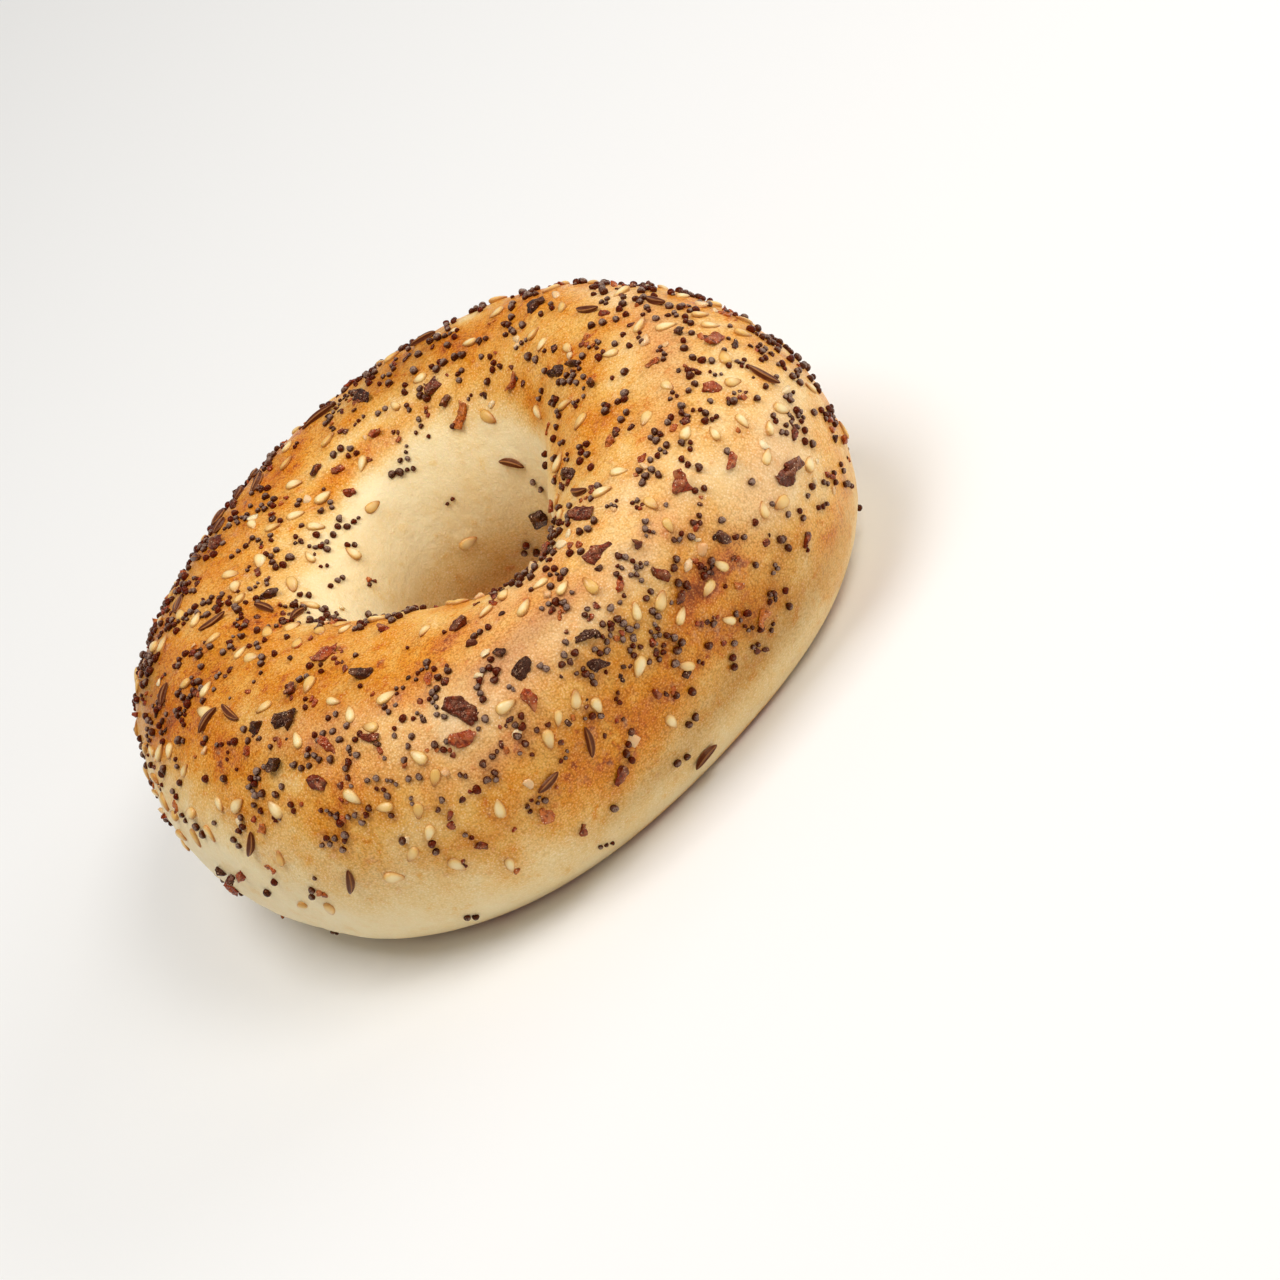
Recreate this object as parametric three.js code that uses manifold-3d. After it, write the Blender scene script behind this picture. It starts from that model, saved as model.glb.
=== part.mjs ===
/**
 * A seeded bagel, lying flat as it does on a table.
 *
 * One uneven ring of baked dough with its sesame, poppy and caraway seeds and its flakes of dried onion
 * baked on. The seeds are part of the crust, so the whole bagel is one solid.
 *
 * Lengths are in millimetres, angles in degrees, +Z is up, and the origin is on the table below the middle
 * of the bagel. A place on the dough has two angles: "round" goes round the ring from +X, and "over" goes
 * over the rope of dough, 0 at the outer rim, 90 on the crown, 180 on the wall of the hole, 270 underneath.
 */

import * as THREE from 'three';
import { ParametricGeometry } from 'three/addons/geometries/ParametricGeometry.js';
import { mergeVertices } from 'three/addons/utils/BufferGeometryUtils.js';
import Module from 'manifold-3d';

const wasm = await Module();
wasm.setup();

// ---------------------------------------------------------------------------- driving dimensions

// The rope of dough, measured from its own middle line.
const RING_RADIUS = 35.0;
const RIM_REACH = 18.6;
const HOLE_REACH = 19.3;
const CROWN_RISE = 19.5;
const BELLY_DROP = 22.8;
const MIDDLE_HEIGHT = 19.8; // less than the drop, so the belly is baked flat on the tray
const SQUARENESS = 0.82; // 1 is a round rope, less is fuller at its shoulders
const RING_CENTRE = { x: 1.1, y: -2.1 };

// Hand rolling leaves slow swellings: so many to a turn, by so much, the first one so far round.
const RIM_LOBES = [
  { count: 1, size: 2.7, at: 152 },
  { count: 2, size: 1.4, at: -1 },
  { count: 3, size: 2.1, at: -18 },
  { count: 4, size: 1.1, at: -22 },
];
const HOLE_LOBES = [
  { count: 1, size: 0.4, at: -176 },
  { count: 2, size: 1.5, at: 19 },
  { count: 3, size: 2.2, at: -16 },
  { count: 4, size: 2.2, at: -33 },
];
const CROWN_LOBES = [
  { count: 1, size: 1.2, at: 37 },
  { count: 2, size: 1.5, at: 9 },
];

// The nick in the wall of the hole where the two ends of the rope were pressed together.
const NICK = { at: -76, spread: 11, depth: 2.5 };

// The wall of the hole gets rounder on its way down: its swellings and the nick lose this share.
const CALM_WALL = { from: 105, to: 215, share: 0.7 };

// Facets of the dough, round the ring and over the rope.
const RING_STEPS = 54;
const ROPE_STEPS = 24;

// Seeds and flakes: full size, and how far each stands proud of the crust.
const SESAME = { length: 3.0, width: 1.9, thickness: 1.0, proud: 0.55 };
const POPPY = { length: 1.3, width: 1.1, thickness: 1.1, proud: 0.7 };
const CARAWAY = { length: 4.6, width: 1.3, thickness: 1.2, proud: 0.75, sag: 0.7 };
const FLAKE = { length: 3.4, width: 2.4, thickness: 1.1, proud: 0.65 };

// How many are strewn by rule, over and above the large ones that are placed one by one.
const SESAME_COUNT = 90;
const POPPY_COUNT = 40;
const CARAWAY_COUNT = 6;
const FLAKE_COUNT = 10;

// Bare crust left between two strewn seeds.
const SEED_GAP = 0.5;

// The strewing: thick on the crown, thinning out down the rim and into the hole, thickest on one side.
const RIM_EDGE = { bare: -35, full: 25 };
const HOLE_EDGE = { full: 112, bare: 150 };
const STREWN_RANGE = { from: -45, to: 205 };
const THICK_SIDE = { at: 170, share: 0.25 };

// The large bits: what, round, over, length, and the turn of its length from the line of the ring.
const LARGE_BITS = [
  ['caraway', 97, 78, 6.2, 155],
  ['caraway', 69, 79, 5.4, 165],
  ['caraway', 116, 77, 4.6, 25],
  ['caraway', 128, 74, 4.2, 15],
  ['caraway', -158, 75, 5.2, 165],
  ['caraway', 174, 110, 3.8, 40],
  ['caraway', -178, 123, 4.4, 135],
  ['caraway', 14, 88, 4.5, 20],
  ['caraway', 3, 68, 4.6, 10],
  ['caraway', -22, 37, 5.2, 75],
  ['caraway', 40, 156, 4.2, 150],
  ['caraway', -54, 101, 3.6, 75],
  ['caraway', -78, -44, 4.6, 5],
  ['flake', 86, 90, 3.6, 125],
  ['flake', 34, 89, 3.4, 60],
  ['flake', 58, 127, 3.8, 50],
  ['flake', 66, 108, 3.4, 40],
  ['flake', 6, 112, 2.8, 25],
  ['flake', 42, 181, 4.2, 60],
  ['flake', -45, 112, 3.6, 50],
  ['flake', -62, 92, 4.0, 105],
  ['flake', -69, 70, 4.0, 175],
  ['flake', -84, 28, 3.5, 135],
  ['flake', -94, 52, 3.4, 20],
  ['flake', -106, 54, 4.8, 120],
  ['flake', -108, 41, 4.0, 150],
  ['flake', -131, 62, 3.6, 120],
  ['flake', -126, 89, 3.0, 165],
  ['flake', -143, 75, 3.6, 75],
  ['flake', -50, 54, 3.6, 60],
  ['flake', -36, 15, 3.6, 175],
  ['flake', -28, 58, 3.0, 100],
  ['flake', -53, 23, 3.4, 115],
  ['flake', -65, 36, 3.4, 105],
  ['flake', -56, -14, 3.4, 15],
  ['flake', -92, -18, 3.4, 25],
];

const CRUST_COLOUR = 0xc98d4b;

// --------------------------------------------------------------------------------------- dough

/** The swelling at one place round the ring: a sum of slow cosine waves. */
function swelling(lobes, round) {
  const wave = ({ count, size, at }) => size * Math.cos(count * THREE.MathUtils.degToRad(round - at));
  return lobes.reduce((sum, lobe) => sum + wave(lobe), 0);
}

/** The shortest way round from one angle to another, between -180 and 180. */
function turnBetween(from, to) {
  return THREE.MathUtils.euclideanModulo(to - from + 180, 360) - 180;
}

/** How far the nick cuts back the wall of the hole: a bell curve round its own place. */
function nickDepth(round) {
  return NICK.depth * Math.exp(-((turnBetween(NICK.at, round) / NICK.spread) ** 2));
}

/** How far the wall of the hole stands out from its mean reach. */
function holeSwelling(round, over) {
  const calm = CALM_WALL.share * THREE.MathUtils.smoothstep(over, CALM_WALL.from, CALM_WALL.to);
  return (swelling(HOLE_LOBES, round) - nickDepth(round)) * (1 - calm);
}

/** The dough's surface. Each quarter of the section is a rounded square with reaches of its own. */
function doughPoint(round, over, target = new THREE.Vector3()) {
  const turn = THREE.MathUtils.degToRad(round);
  const outward = Math.cos(THREE.MathUtils.degToRad(over));
  const upward = Math.sin(THREE.MathUtils.degToRad(over));
  const rimReach = RIM_REACH + swelling(RIM_LOBES, round);
  const holeReach = HOLE_REACH + holeSwelling(round, over);
  const reach = outward > 0 ? rimReach : holeReach;
  const rise = upward > 0 ? CROWN_RISE + swelling(CROWN_LOBES, round) : BELLY_DROP;
  const radius = RING_RADIUS + reach * Math.sign(outward) * Math.abs(outward) ** SQUARENESS;
  return target.set(
    RING_CENTRE.x + radius * Math.cos(turn),
    RING_CENTRE.y + radius * Math.sin(turn),
    Math.max(MIDDLE_HEIGHT + rise * upward, 0),
  );
}

/** The whole ring of dough as one closed surface. */
function doughGeometry() {
  const place = (u, v, target) => doughPoint(360 * u, 360 * v, target);
  return closed(new ParametricGeometry(place, RING_STEPS, ROPE_STEPS));
}

// ----------------------------------------------------------------------------- seeds and flakes

/** An even draw between 0 and 1, always the same for the same two numbers. */
function draw(index, channel) {
  const wave = Math.sin(index * 12.9898 + channel * 78.233) * 43758.5453;
  return wave - Math.floor(wave);
}

/** A shape with its shared corners merged, so that it closes on itself. */
function closed(geometry) {
  geometry.deleteAttribute('normal');
  geometry.deleteAttribute('uv');
  return mergeVertices(geometry);
}

/** Moves every corner of a closed shape by a function of its place. */
function reshape(shape, move) {
  const geometry = closed(shape);
  const corners = geometry.attributes.position;
  const corner = new THREE.Vector3();
  for (let i = 0; i < corners.count; i += 1) {
    move(corner.fromBufferAttribute(corners, i));
    corners.setXYZ(i, corner.x, corner.y, corner.z);
  }
  return geometry;
}

/** A sesame seed along X: a flat drop, round at one end and drawn to a point at the other. */
function sesameShape({ length, width, thickness }) {
  const plumpness = 1 / Math.sin(Math.PI / 3); // the corners of its two rings stand at 60 degrees
  const seed = new THREE.SphereGeometry(0.5, 5, 3).rotateZ(-Math.PI / 2);
  return reshape(seed, (corner) => {
    const fullness = plumpness * (1 - 0.5 * corner.x);
    corner.set(corner.x * length, corner.y * width * fullness, corner.z * thickness * fullness);
  });
}

/** A poppy seed: a small rough ball, a little longer than wide. */
function poppyShape({ length, width, thickness }) {
  return closed(new THREE.IcosahedronGeometry(0.5, 0)).scale(length, width, thickness);
}

/** A caraway seed along X: a thin spindle, bowed to one side. */
function carawayShape({ length, width, thickness, sag }) {
  const seed = new THREE.SphereGeometry(0.5, 5, 5).rotateZ(-Math.PI / 2);
  return reshape(seed, (corner) => {
    const bow = sag * (1 - 4 * corner.x ** 2);
    corner.set(corner.x * length, corner.y * width + bow, corner.z * thickness);
  });
}

/** A flake along X: a slab with six corners, each drawn in or out by its own draw. */
function flakeShape({ length, width, thickness }, index) {
  const slab = new THREE.CylinderGeometry(0.5, 0.5, 1, 6, 1).rotateX(Math.PI / 2);
  return reshape(slab, (corner) => {
    const corners = Math.round(Math.atan2(corner.y, corner.x) / (Math.PI / 3));
    const reach = 0.8 + 0.45 * draw(index, 20 + THREE.MathUtils.euclideanModulo(corners, 6));
    corner.set(corner.x * length * reach, corner.y * width * reach, corner.z * thickness);
  });
}

const KINDS = {
  sesame: { size: SESAME, shape: sesameShape },
  poppy: { size: POPPY, shape: poppyShape },
  caraway: { size: CARAWAY, shape: carawayShape },
  flake: { size: FLAKE, shape: flakeShape },
};

/** Where a seed sits: its length along X and the way out of the crust along Z. */
function seat(round, over, turn) {
  const step = 0.5;
  const origin = doughPoint(round, over);
  const along = doughPoint(round + step, over).sub(doughPoint(round - step, over)).normalize();
  const across = doughPoint(round, over + step).sub(doughPoint(round, over - step)).normalize();
  const out = new THREE.Vector3().crossVectors(along, across).normalize();
  const lengthways = along.applyAxisAngle(out, THREE.MathUtils.degToRad(turn));
  const sideways = new THREE.Vector3().crossVectors(out, lengthways).normalize();
  return new THREE.Matrix4().makeBasis(lengthways, sideways, out).setPosition(origin);
}

/** One seed or flake, sunk in the crust so that only its proud part shows. */
function bakedOn({ kind, round, over, length, turn, index }) {
  const { size, shape } = KINDS[kind];
  const scale = length / size.length;
  const sunk = size.proud - size.thickness / 2;
  const geometry = shape({ ...size, length, width: size.width * Math.sqrt(scale) }, index);
  return geometry.translate(0, 0, sunk).applyMatrix4(seat(round, over, turn));
}

// ------------------------------------------------------------------------------------- strewing

/** How thickly the seeds lie at a place, from 0 to 1. */
function cover(round, over) {
  const rim = THREE.MathUtils.smoothstep(over, RIM_EDGE.bare, RIM_EDGE.full);
  const hole = 1 - THREE.MathUtils.smoothstep(over, HOLE_EDGE.full, HOLE_EDGE.bare);
  const side = Math.cos(THREE.MathUtils.degToRad(round - THICK_SIDE.at));
  const scatter = 0.05; // a few fall everywhere
  return Math.max(rim * hole * (1 - THICK_SIDE.share * (1 - side) / 2), scatter);
}

/** Strews seeds of one kind by fixed draws, kept clear of all that already lie there. */
function strew(kind, count, laid, channel) {
  const { size } = KINDS[kind];
  const widest = RING_RADIUS + RIM_REACH;
  const reach = size.length / 2;
  for (let i = 0, placed = 0; placed < count; i += 1) {
    const round = 360 * draw(i, channel);
    const over = THREE.MathUtils.lerp(STREWN_RANGE.from, STREWN_RANGE.to, draw(i, channel + 1));
    const place = doughPoint(round, over);
    const evenness = Math.hypot(place.x - RING_CENTRE.x, place.y - RING_CENTRE.y) / widest;
    const wanted = draw(i, channel + 2) < cover(round, over) * evenness;
    const clear = laid.every((seed) => seed.place.distanceTo(place) > seed.reach + reach + SEED_GAP);
    if (wanted && clear) {
      const length = size.length * (0.85 + 0.3 * draw(i, channel + 3));
      const turn = 360 * draw(i, channel + 4);
      laid.push({ kind, round, over, length, turn, index: i + channel, place, reach });
      placed += 1;
    }
  }
}

/** All the toppings, largest first: the placed ones, then each strewn kind. */
function toppings() {
  const laid = LARGE_BITS.map(([kind, round, over, length, turn], index) => (
    { kind, round, over, length, turn, index, place: doughPoint(round, over), reach: length / 2 }
  ));
  strew('flake', FLAKE_COUNT, laid, 30);
  strew('caraway', CARAWAY_COUNT, laid, 40);
  strew('sesame', SESAME_COUNT, laid, 50);
  strew('poppy', POPPY_COUNT, laid, 60);
  return laid.map(bakedOn);
}

// --------------------------------------------------------------------------------------- joining

/** A solid from a closed shape. */
function toSolid(geometry) {
  const mesh = new wasm.Mesh({
    numProp: 3,
    vertProperties: new Float32Array(geometry.attributes.position.array),
    triVerts: new Uint32Array(geometry.index.array),
  });
  return new wasm.Manifold(mesh);
}

/** A drawable shape from a solid. */
function toGeometry(solid) {
  const { vertProperties, triVerts } = solid.getMesh();
  const geometry = new THREE.BufferGeometry();
  geometry.setAttribute('position', new THREE.BufferAttribute(vertProperties, 3));
  geometry.setIndex(new THREE.BufferAttribute(triVerts, 1));
  geometry.computeVertexNormals();
  return geometry;
}

/** The dough with everything baked on. */
function bagelGeometry() {
  const join = (whole, topping) => whole.add(toSolid(topping));
  return toGeometry(toppings().reduce(join, toSolid(doughGeometry())));
}

const crust = new THREE.MeshStandardMaterial({ color: CRUST_COLOUR, roughness: 0.45, metalness: 0 });
const bagel = new THREE.Mesh(bagelGeometry(), crust);
bagel.name = 'bagel';

const group = new THREE.Group();
group.add(bagel);

export default group;
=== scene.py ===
"""A seeded bagel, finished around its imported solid.

The solid gives the size of the ring of dough and carries the larger seeds. Here the same ring is
drawn again at full fineness with its blisters and browning, and the seeds, flakes, crumbs and grains of
salt are pieces of their own, seated on the crust where the solid has them.

Shapes are worked out in millimetres and degrees, and turned into metres when a mesh is made. A place
on the dough has two angles: "around" goes round the ring from +X, and "over" goes over the rope of
dough, 0 at the outer rim, 90 on the crown, 180 on the wall of the hole and 270 underneath.
"""

import logging
from abc import ABC, abstractmethod
from dataclasses import dataclass, field
from enum import Enum
from typing import Sequence

import bpy
import numpy as np
from mathutils import Matrix, Vector


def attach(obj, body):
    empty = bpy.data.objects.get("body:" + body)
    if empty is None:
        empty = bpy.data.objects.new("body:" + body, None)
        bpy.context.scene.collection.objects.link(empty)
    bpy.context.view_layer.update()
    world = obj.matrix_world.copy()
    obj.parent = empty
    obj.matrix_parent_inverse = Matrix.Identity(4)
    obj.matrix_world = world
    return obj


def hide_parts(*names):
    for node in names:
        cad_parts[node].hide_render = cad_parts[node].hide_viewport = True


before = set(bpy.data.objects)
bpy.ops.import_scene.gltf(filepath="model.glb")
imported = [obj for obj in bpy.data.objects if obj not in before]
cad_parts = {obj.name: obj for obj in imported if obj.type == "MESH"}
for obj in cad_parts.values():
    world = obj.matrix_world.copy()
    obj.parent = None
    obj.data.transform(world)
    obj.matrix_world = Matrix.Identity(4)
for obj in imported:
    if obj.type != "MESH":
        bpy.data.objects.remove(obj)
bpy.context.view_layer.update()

MM = 0.001
BODY = "root"
NODE = "bagel"
SINE_SPREAD = 43758.5453  # so many times a sine leaves a fraction that looks random
NOISE_SPREAD = 2.6  # brings a noise texture, which keeps near its middle, out to about -1 to 1

Array = np.ndarray
Colour = tuple[float, float, float]
Spots = tuple[np.ndarray, np.ndarray]  # places and reaches of seeds

log = logging.getLogger("bagel")


# ------------------------------------------------------------------------------ small mathematics


def cosd(degrees: Array | float) -> Array:
    """The cosine of an angle in degrees."""
    return np.cos(np.radians(degrees))


def sind(degrees: Array | float) -> Array:
    """The sine of an angle in degrees."""
    return np.sin(np.radians(degrees))


def smooth(low: Array | float, high: Array | float, value: Array) -> Array:
    """An eased step from 0 at low to 1 at high: 3u^2 - 2u^3 of the share u of the way there."""
    share = np.clip((value - low) / (high - low), 0.0, 1.0)
    return share * share * (3.0 - 2.0 * share)


def turn_between(start: float, end: Array) -> Array:
    """The shortest way round from one angle to another, between -180 and 180 degrees."""
    return (end - start + 180.0) % 360.0 - 180.0


def bell(offset: Array, spread: float) -> Array:
    """A bell curve: e to the minus square of the offset in spreads."""
    return np.exp(-((offset / spread) ** 2))


def unit(vectors: Array) -> Array:
    """Vectors scaled to length 1."""
    return vectors / np.linalg.norm(vectors, axis=-1, keepdims=True)


def srgb(red: int, green: int, blue: int) -> Colour:
    """A linear colour from display values between 0 and 255."""
    share = np.array([red, green, blue]) / 255.0
    linear = np.where(share <= 0.04045, share / 12.92, ((share + 0.055) / 1.055) ** 2.4)
    return tuple(float(part) for part in linear)


def sine_draw(phase: Array | float) -> Array:
    """An even draw in 0..1, always the same for the same phase: the fraction of a large sine."""
    wave = np.sin(phase) * SINE_SPREAD
    return wave - np.floor(wave)


def draw(index: Array | int, channel: int) -> Array:
    """A draw for each whole number, with draws of its own for each channel."""
    return sine_draw(index * 12.9898 + channel * 78.233)


def lattice_draw(cells: Array, seed: int) -> Array:
    """A draw for each cell of a cubic lattice, from its three whole numbers."""
    return sine_draw(cells @ np.array([127.1, 311.7, 74.7]) + 19.19 * seed)


def soft_noise(points: Array, size: float, seed: int) -> Array:
    """Value noise in -1..1: draws on a lattice of the given size, eased from corner to corner.

    Args:
        points: places in millimetres, with x, y and z last.
        size: length of a lattice cell in millimetres.
        seed: picks the pattern.

    Returns:
        One value for each place.
    """
    place = points / size
    cell = np.floor(place)
    share = place - cell
    share = share * share * (3.0 - 2.0 * share)
    total = np.zeros(points.shape[:-1])
    for corner in np.ndindex(2, 2, 2):
        weight = np.prod(np.where(np.array(corner) == 1, share, 1.0 - share), axis=-1)
        total += weight * lattice_draw(cell + np.array(corner), seed)
    return 2.0 * total - 1.0


# ------------------------------------------------------------------------------ meshes from arrays


def ball_grid(steps: int) -> tuple[Array, Array]:
    """A ball made of quads only: each side of a cube is a grid, and its points go out to radius 1.

    The grid lines lie at tangents of even angles, so the quads come out nearly alike.

    Args:
        steps: quads along one edge of the cube.

    Returns:
        The directions, one row each, and the four corners of each quad.
    """
    line = np.tan(np.linspace(-1.0, 1.0, steps + 1) * np.pi / 4.0)
    a, b = np.meshgrid(line, line, indexing="ij")
    one = np.ones_like(a)
    sides = [(one, a, b), (-one, b, a), (b, one, a), (a, -one, b), (a, b, one), (b, a, -one)]
    points = np.concatenate([np.stack(side, -1).reshape(-1, 3) for side in sides])
    index = np.arange((steps + 1) ** 2).reshape(steps + 1, steps + 1)
    corners = [index[:-1, :-1], index[1:, :-1], index[1:, 1:], index[:-1, 1:]]
    quad = np.stack(corners, -1).reshape(-1, 4)
    quads = np.concatenate([quad + side * (steps + 1) ** 2 for side in range(6)])
    _, first, merged = np.unique(np.round(points, 6), axis=0, return_index=True, return_inverse=True)
    return unit(points[first]), merged.reshape(-1)[quads]


def ring_quads(rows: int, columns: int) -> Array:
    """The quads of a grid of points that closes on itself both ways."""
    index = np.arange(rows * columns).reshape(rows, columns)
    ahead = np.roll(index, -1, axis=0)
    corners = [index, ahead, np.roll(ahead, -1, axis=1), np.roll(index, -1, axis=1)]
    return np.stack(corners, -1).reshape(-1, 4)


def make_piece(name: str, points: Array, quads: Array, marks: dict[str, Array]) -> bpy.types.Object:
    """A shaded mesh object from arrays, at the origin, with one number per point for each mark.

    Args:
        name: name of the piece.
        points: corners in millimetres.
        quads: the four corner numbers of each face.
        marks: values to store on the points, by name.

    Returns:
        The new object, linked to the scene.
    """
    mesh = bpy.data.meshes.new(name)
    mesh.vertices.add(len(points))
    mesh.vertices.foreach_set("co", np.ascontiguousarray(points * MM, np.float32).ravel())
    mesh.loops.add(quads.size)
    mesh.loops.foreach_set("vertex_index", quads.astype(np.int32).ravel())
    mesh.polygons.add(len(quads))
    mesh.polygons.foreach_set("loop_start", np.arange(0, quads.size, 4, dtype=np.int32))
    mesh.polygons.foreach_set("use_smooth", np.ones(len(quads), bool))
    for mark, values in marks.items():
        layer = mesh.attributes.new(mark, "FLOAT", "POINT")
        layer.data.foreach_set("value", np.ascontiguousarray(values, np.float32).ravel())
    mesh.update(calc_edges=True)
    mesh.validate()
    piece = bpy.data.objects.new(name, mesh)
    bpy.context.scene.collection.objects.link(piece)
    return piece


def settle(piece: bpy.types.Object, material: bpy.types.Material) -> None:
    """Gives a piece its material, puts it on the body and lets it stand for the node."""
    piece.data.materials.append(material)
    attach(piece, BODY)
    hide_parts(NODE)
    log.info("%s: %d faces", piece.name, len(piece.data.polygons))


# ------------------------------------------------------------------------------ shader expressions


class Wire:
    """One socket of a material, with arithmetic: an expression on wires adds its Math nodes."""

    def __init__(self, bench: "Bench", socket: bpy.types.NodeSocket) -> None:
        """Wraps an output socket of a node that stands on the bench."""
        self.bench = bench
        self.socket = socket

    def math(self, operation: str, *values: "Wire | float") -> "Wire":
        """Adds a Math node of this operation on these values."""
        return self.bench.node("ShaderNodeMath", {"operation": operation}, dict(enumerate(values)))

    def __add__(self, other: "Wire | float") -> "Wire":
        """This plus the other."""
        return self.math("ADD", self, other)

    __radd__ = __add__

    def __sub__(self, other: "Wire | float") -> "Wire":
        """This less the other."""
        return self.math("SUBTRACT", self, other)

    def __rsub__(self, other: float) -> "Wire":
        """The other less this."""
        return self.math("SUBTRACT", other, self)

    def __mul__(self, other: "Wire | float") -> "Wire":
        """This times the other."""
        return self.math("MULTIPLY", self, other)

    __rmul__ = __mul__

    def __abs__(self) -> "Wire":
        """This without its sign."""
        return self.math("ABSOLUTE", self)

    def step(self, low: float, high: float) -> "Wire":
        """An eased step from 0 where this is low to 1 where it is high."""
        sockets = {"Value": self, "From Min": low, "From Max": high}
        return self.bench.node("ShaderNodeMapRange", {"interpolation_type": "SMOOTHSTEP"}, sockets)


Tint = Wire | Colour


class Bench:
    """The node tree of one material, on which a finish is put together."""

    def __init__(self, name: str) -> None:
        """Starts a material with its main shader."""
        self.material = bpy.data.materials.new(name)
        self.material.use_nodes = True
        self.tree = self.material.node_tree
        self.shader = next(node for node in self.tree.nodes if node.type == "BSDF_PRINCIPLED")

    def put(self, socket: bpy.types.NodeSocket, value: "Wire | float | Sequence[float]") -> None:
        """Links a wire to a socket, or sets a constant on it."""
        if isinstance(value, Wire):
            self.tree.links.new(value.socket, socket)
        elif isinstance(value, (int, float)):
            socket.default_value = value
        else:
            length = len(socket.default_value)
            socket.default_value = (*value, 1.0)[:length]

    def node(self, kind: str, settings: dict, sockets: dict, output: int | str = 0) -> Wire:
        """Adds a node.

        Args:
            kind: the node's type.
            settings: its properties, set first.
            sockets: values or wires for its inputs, by name or number.
            output: which output to hand back.

        Returns:
            The wire from that output.
        """
        made = self.tree.nodes.new(kind)
        for name, value in settings.items():
            setattr(made, name, value)
        for name, value in sockets.items():
            self.put(made.inputs[name], value)
        return Wire(self, made.outputs[output])

    def texture(self, kind: str, size_mm: float, sockets: dict, output: str) -> Wire:
        """A texture in the object's own space, its scale set by a size in millimetres."""
        place = self.node("ShaderNodeTexCoord", {}, {}, "Object")
        return self.node(kind, {}, {"Vector": place, "Scale": 1.0 / (size_mm * MM), **sockets}, output)

    def mark(self, name: str) -> Wire:
        """A number stored on the mesh."""
        return self.node("ShaderNodeAttribute", {"attribute_name": name}, {}, "Fac")

    def mottle(self, size_mm: float, detail: float = 2.0, roughness: float = 0.5) -> Wire:
        """Smooth noise about -1 to 1 whose blotches are about so many millimetres wide."""
        sockets = {"Detail": detail, "Roughness": roughness}
        return (self.texture("ShaderNodeTexNoise", size_mm, sockets, "Fac") - 0.5) * NOISE_SPREAD

    def cells(self, size_mm: float) -> Wire:
        """The distance to the nearest of many scattered points, so many millimetres apart."""
        return self.texture("ShaderNodeTexVoronoi", size_mm, {}, "Distance")

    def dots(self, size_mm: float, low: float, high: float) -> Wire:
        """1 within the low distance of the nearest of many scattered points, 0 past the high one."""
        return 1.0 - self.cells(size_mm).step(low, high)

    def ramp(self, value: Wire, stops: Sequence[tuple[float, Colour]]) -> Wire:
        """The colour that a value has on a run of places and their colours."""
        made = self.tree.nodes.new("ShaderNodeValToRGB")
        elements = made.color_ramp.elements
        while len(elements) < len(stops):
            elements.new(1.0)
        for element, (place, colour) in zip(elements, stops):
            element.position = place
            element.color = (*colour, 1.0)
        self.put(made.inputs["Fac"], value)
        return Wire(self, made.outputs["Color"])

    def mix(self, share: "Wire | float", first: Tint, second: Tint, blend: str = "MIX") -> Wire:
        """Mixes two colours, the second by its share."""
        settings = {"data_type": "RGBA", "blend_type": blend, "clamp_factor": True}
        return self.node("ShaderNodeMix", settings, {0: share, 6: first, 7: second}, 2)

    def layered(self, colour: Wire, *layers: tuple[Wire, Tint]) -> Wire:
        """A colour with others laid over it in order, each by its share."""
        for share, tint in layers:
            colour = self.mix(share, colour, tint)
        return colour

    def bump(self, height_mm: Wire) -> Wire:
        """The surface's direction, tipped by a height in millimetres."""
        sockets = {"Height": height_mm, "Distance": MM, "Strength": 1.0}
        return self.node("ShaderNodeBump", {}, sockets, "Normal")

    def finish(self, **values: "Wire | float | Colour") -> bpy.types.Material:
        """Puts the values on the main shader, an underscore standing for a space."""
        for name, value in values.items():
            self.put(self.shader.inputs[name.replace("_", " ").title().replace("Ior", "IOR")], value)
        return self.material


# ------------------------------------------------------------------------------ the dough


@dataclass(frozen=True)
class Lobe:
    """One slow swelling round the ring: so many to a turn, its height, and the angle of a crest."""

    count: int
    size: float
    at: float


Lobes = tuple[Lobe, ...]


@dataclass(frozen=True)
class Patch:
    """A patch of the dough where something is more or less: where, how far it spreads, how much."""

    around: float
    over: float
    spread_around: float
    spread_over: float
    amount: float

    def at(self, around: Array, over: Array) -> Array:
        """The patch's part at each place: its amount times a bell each way."""
        sidling = bell(turn_between(self.around, around), self.spread_around)
        return self.amount * sidling * bell(over - self.over, self.spread_over)


def patches(*rows: tuple[float, ...]) -> tuple[Patch, ...]:
    """Patches from rows of their five numbers."""
    return tuple(Patch(*row) for row in rows)


def patched(those: Sequence[Patch], around: Array, over: Array) -> Array:
    """What these patches together come to at each place."""
    return sum(patch.at(around, over) for patch in those)


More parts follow.
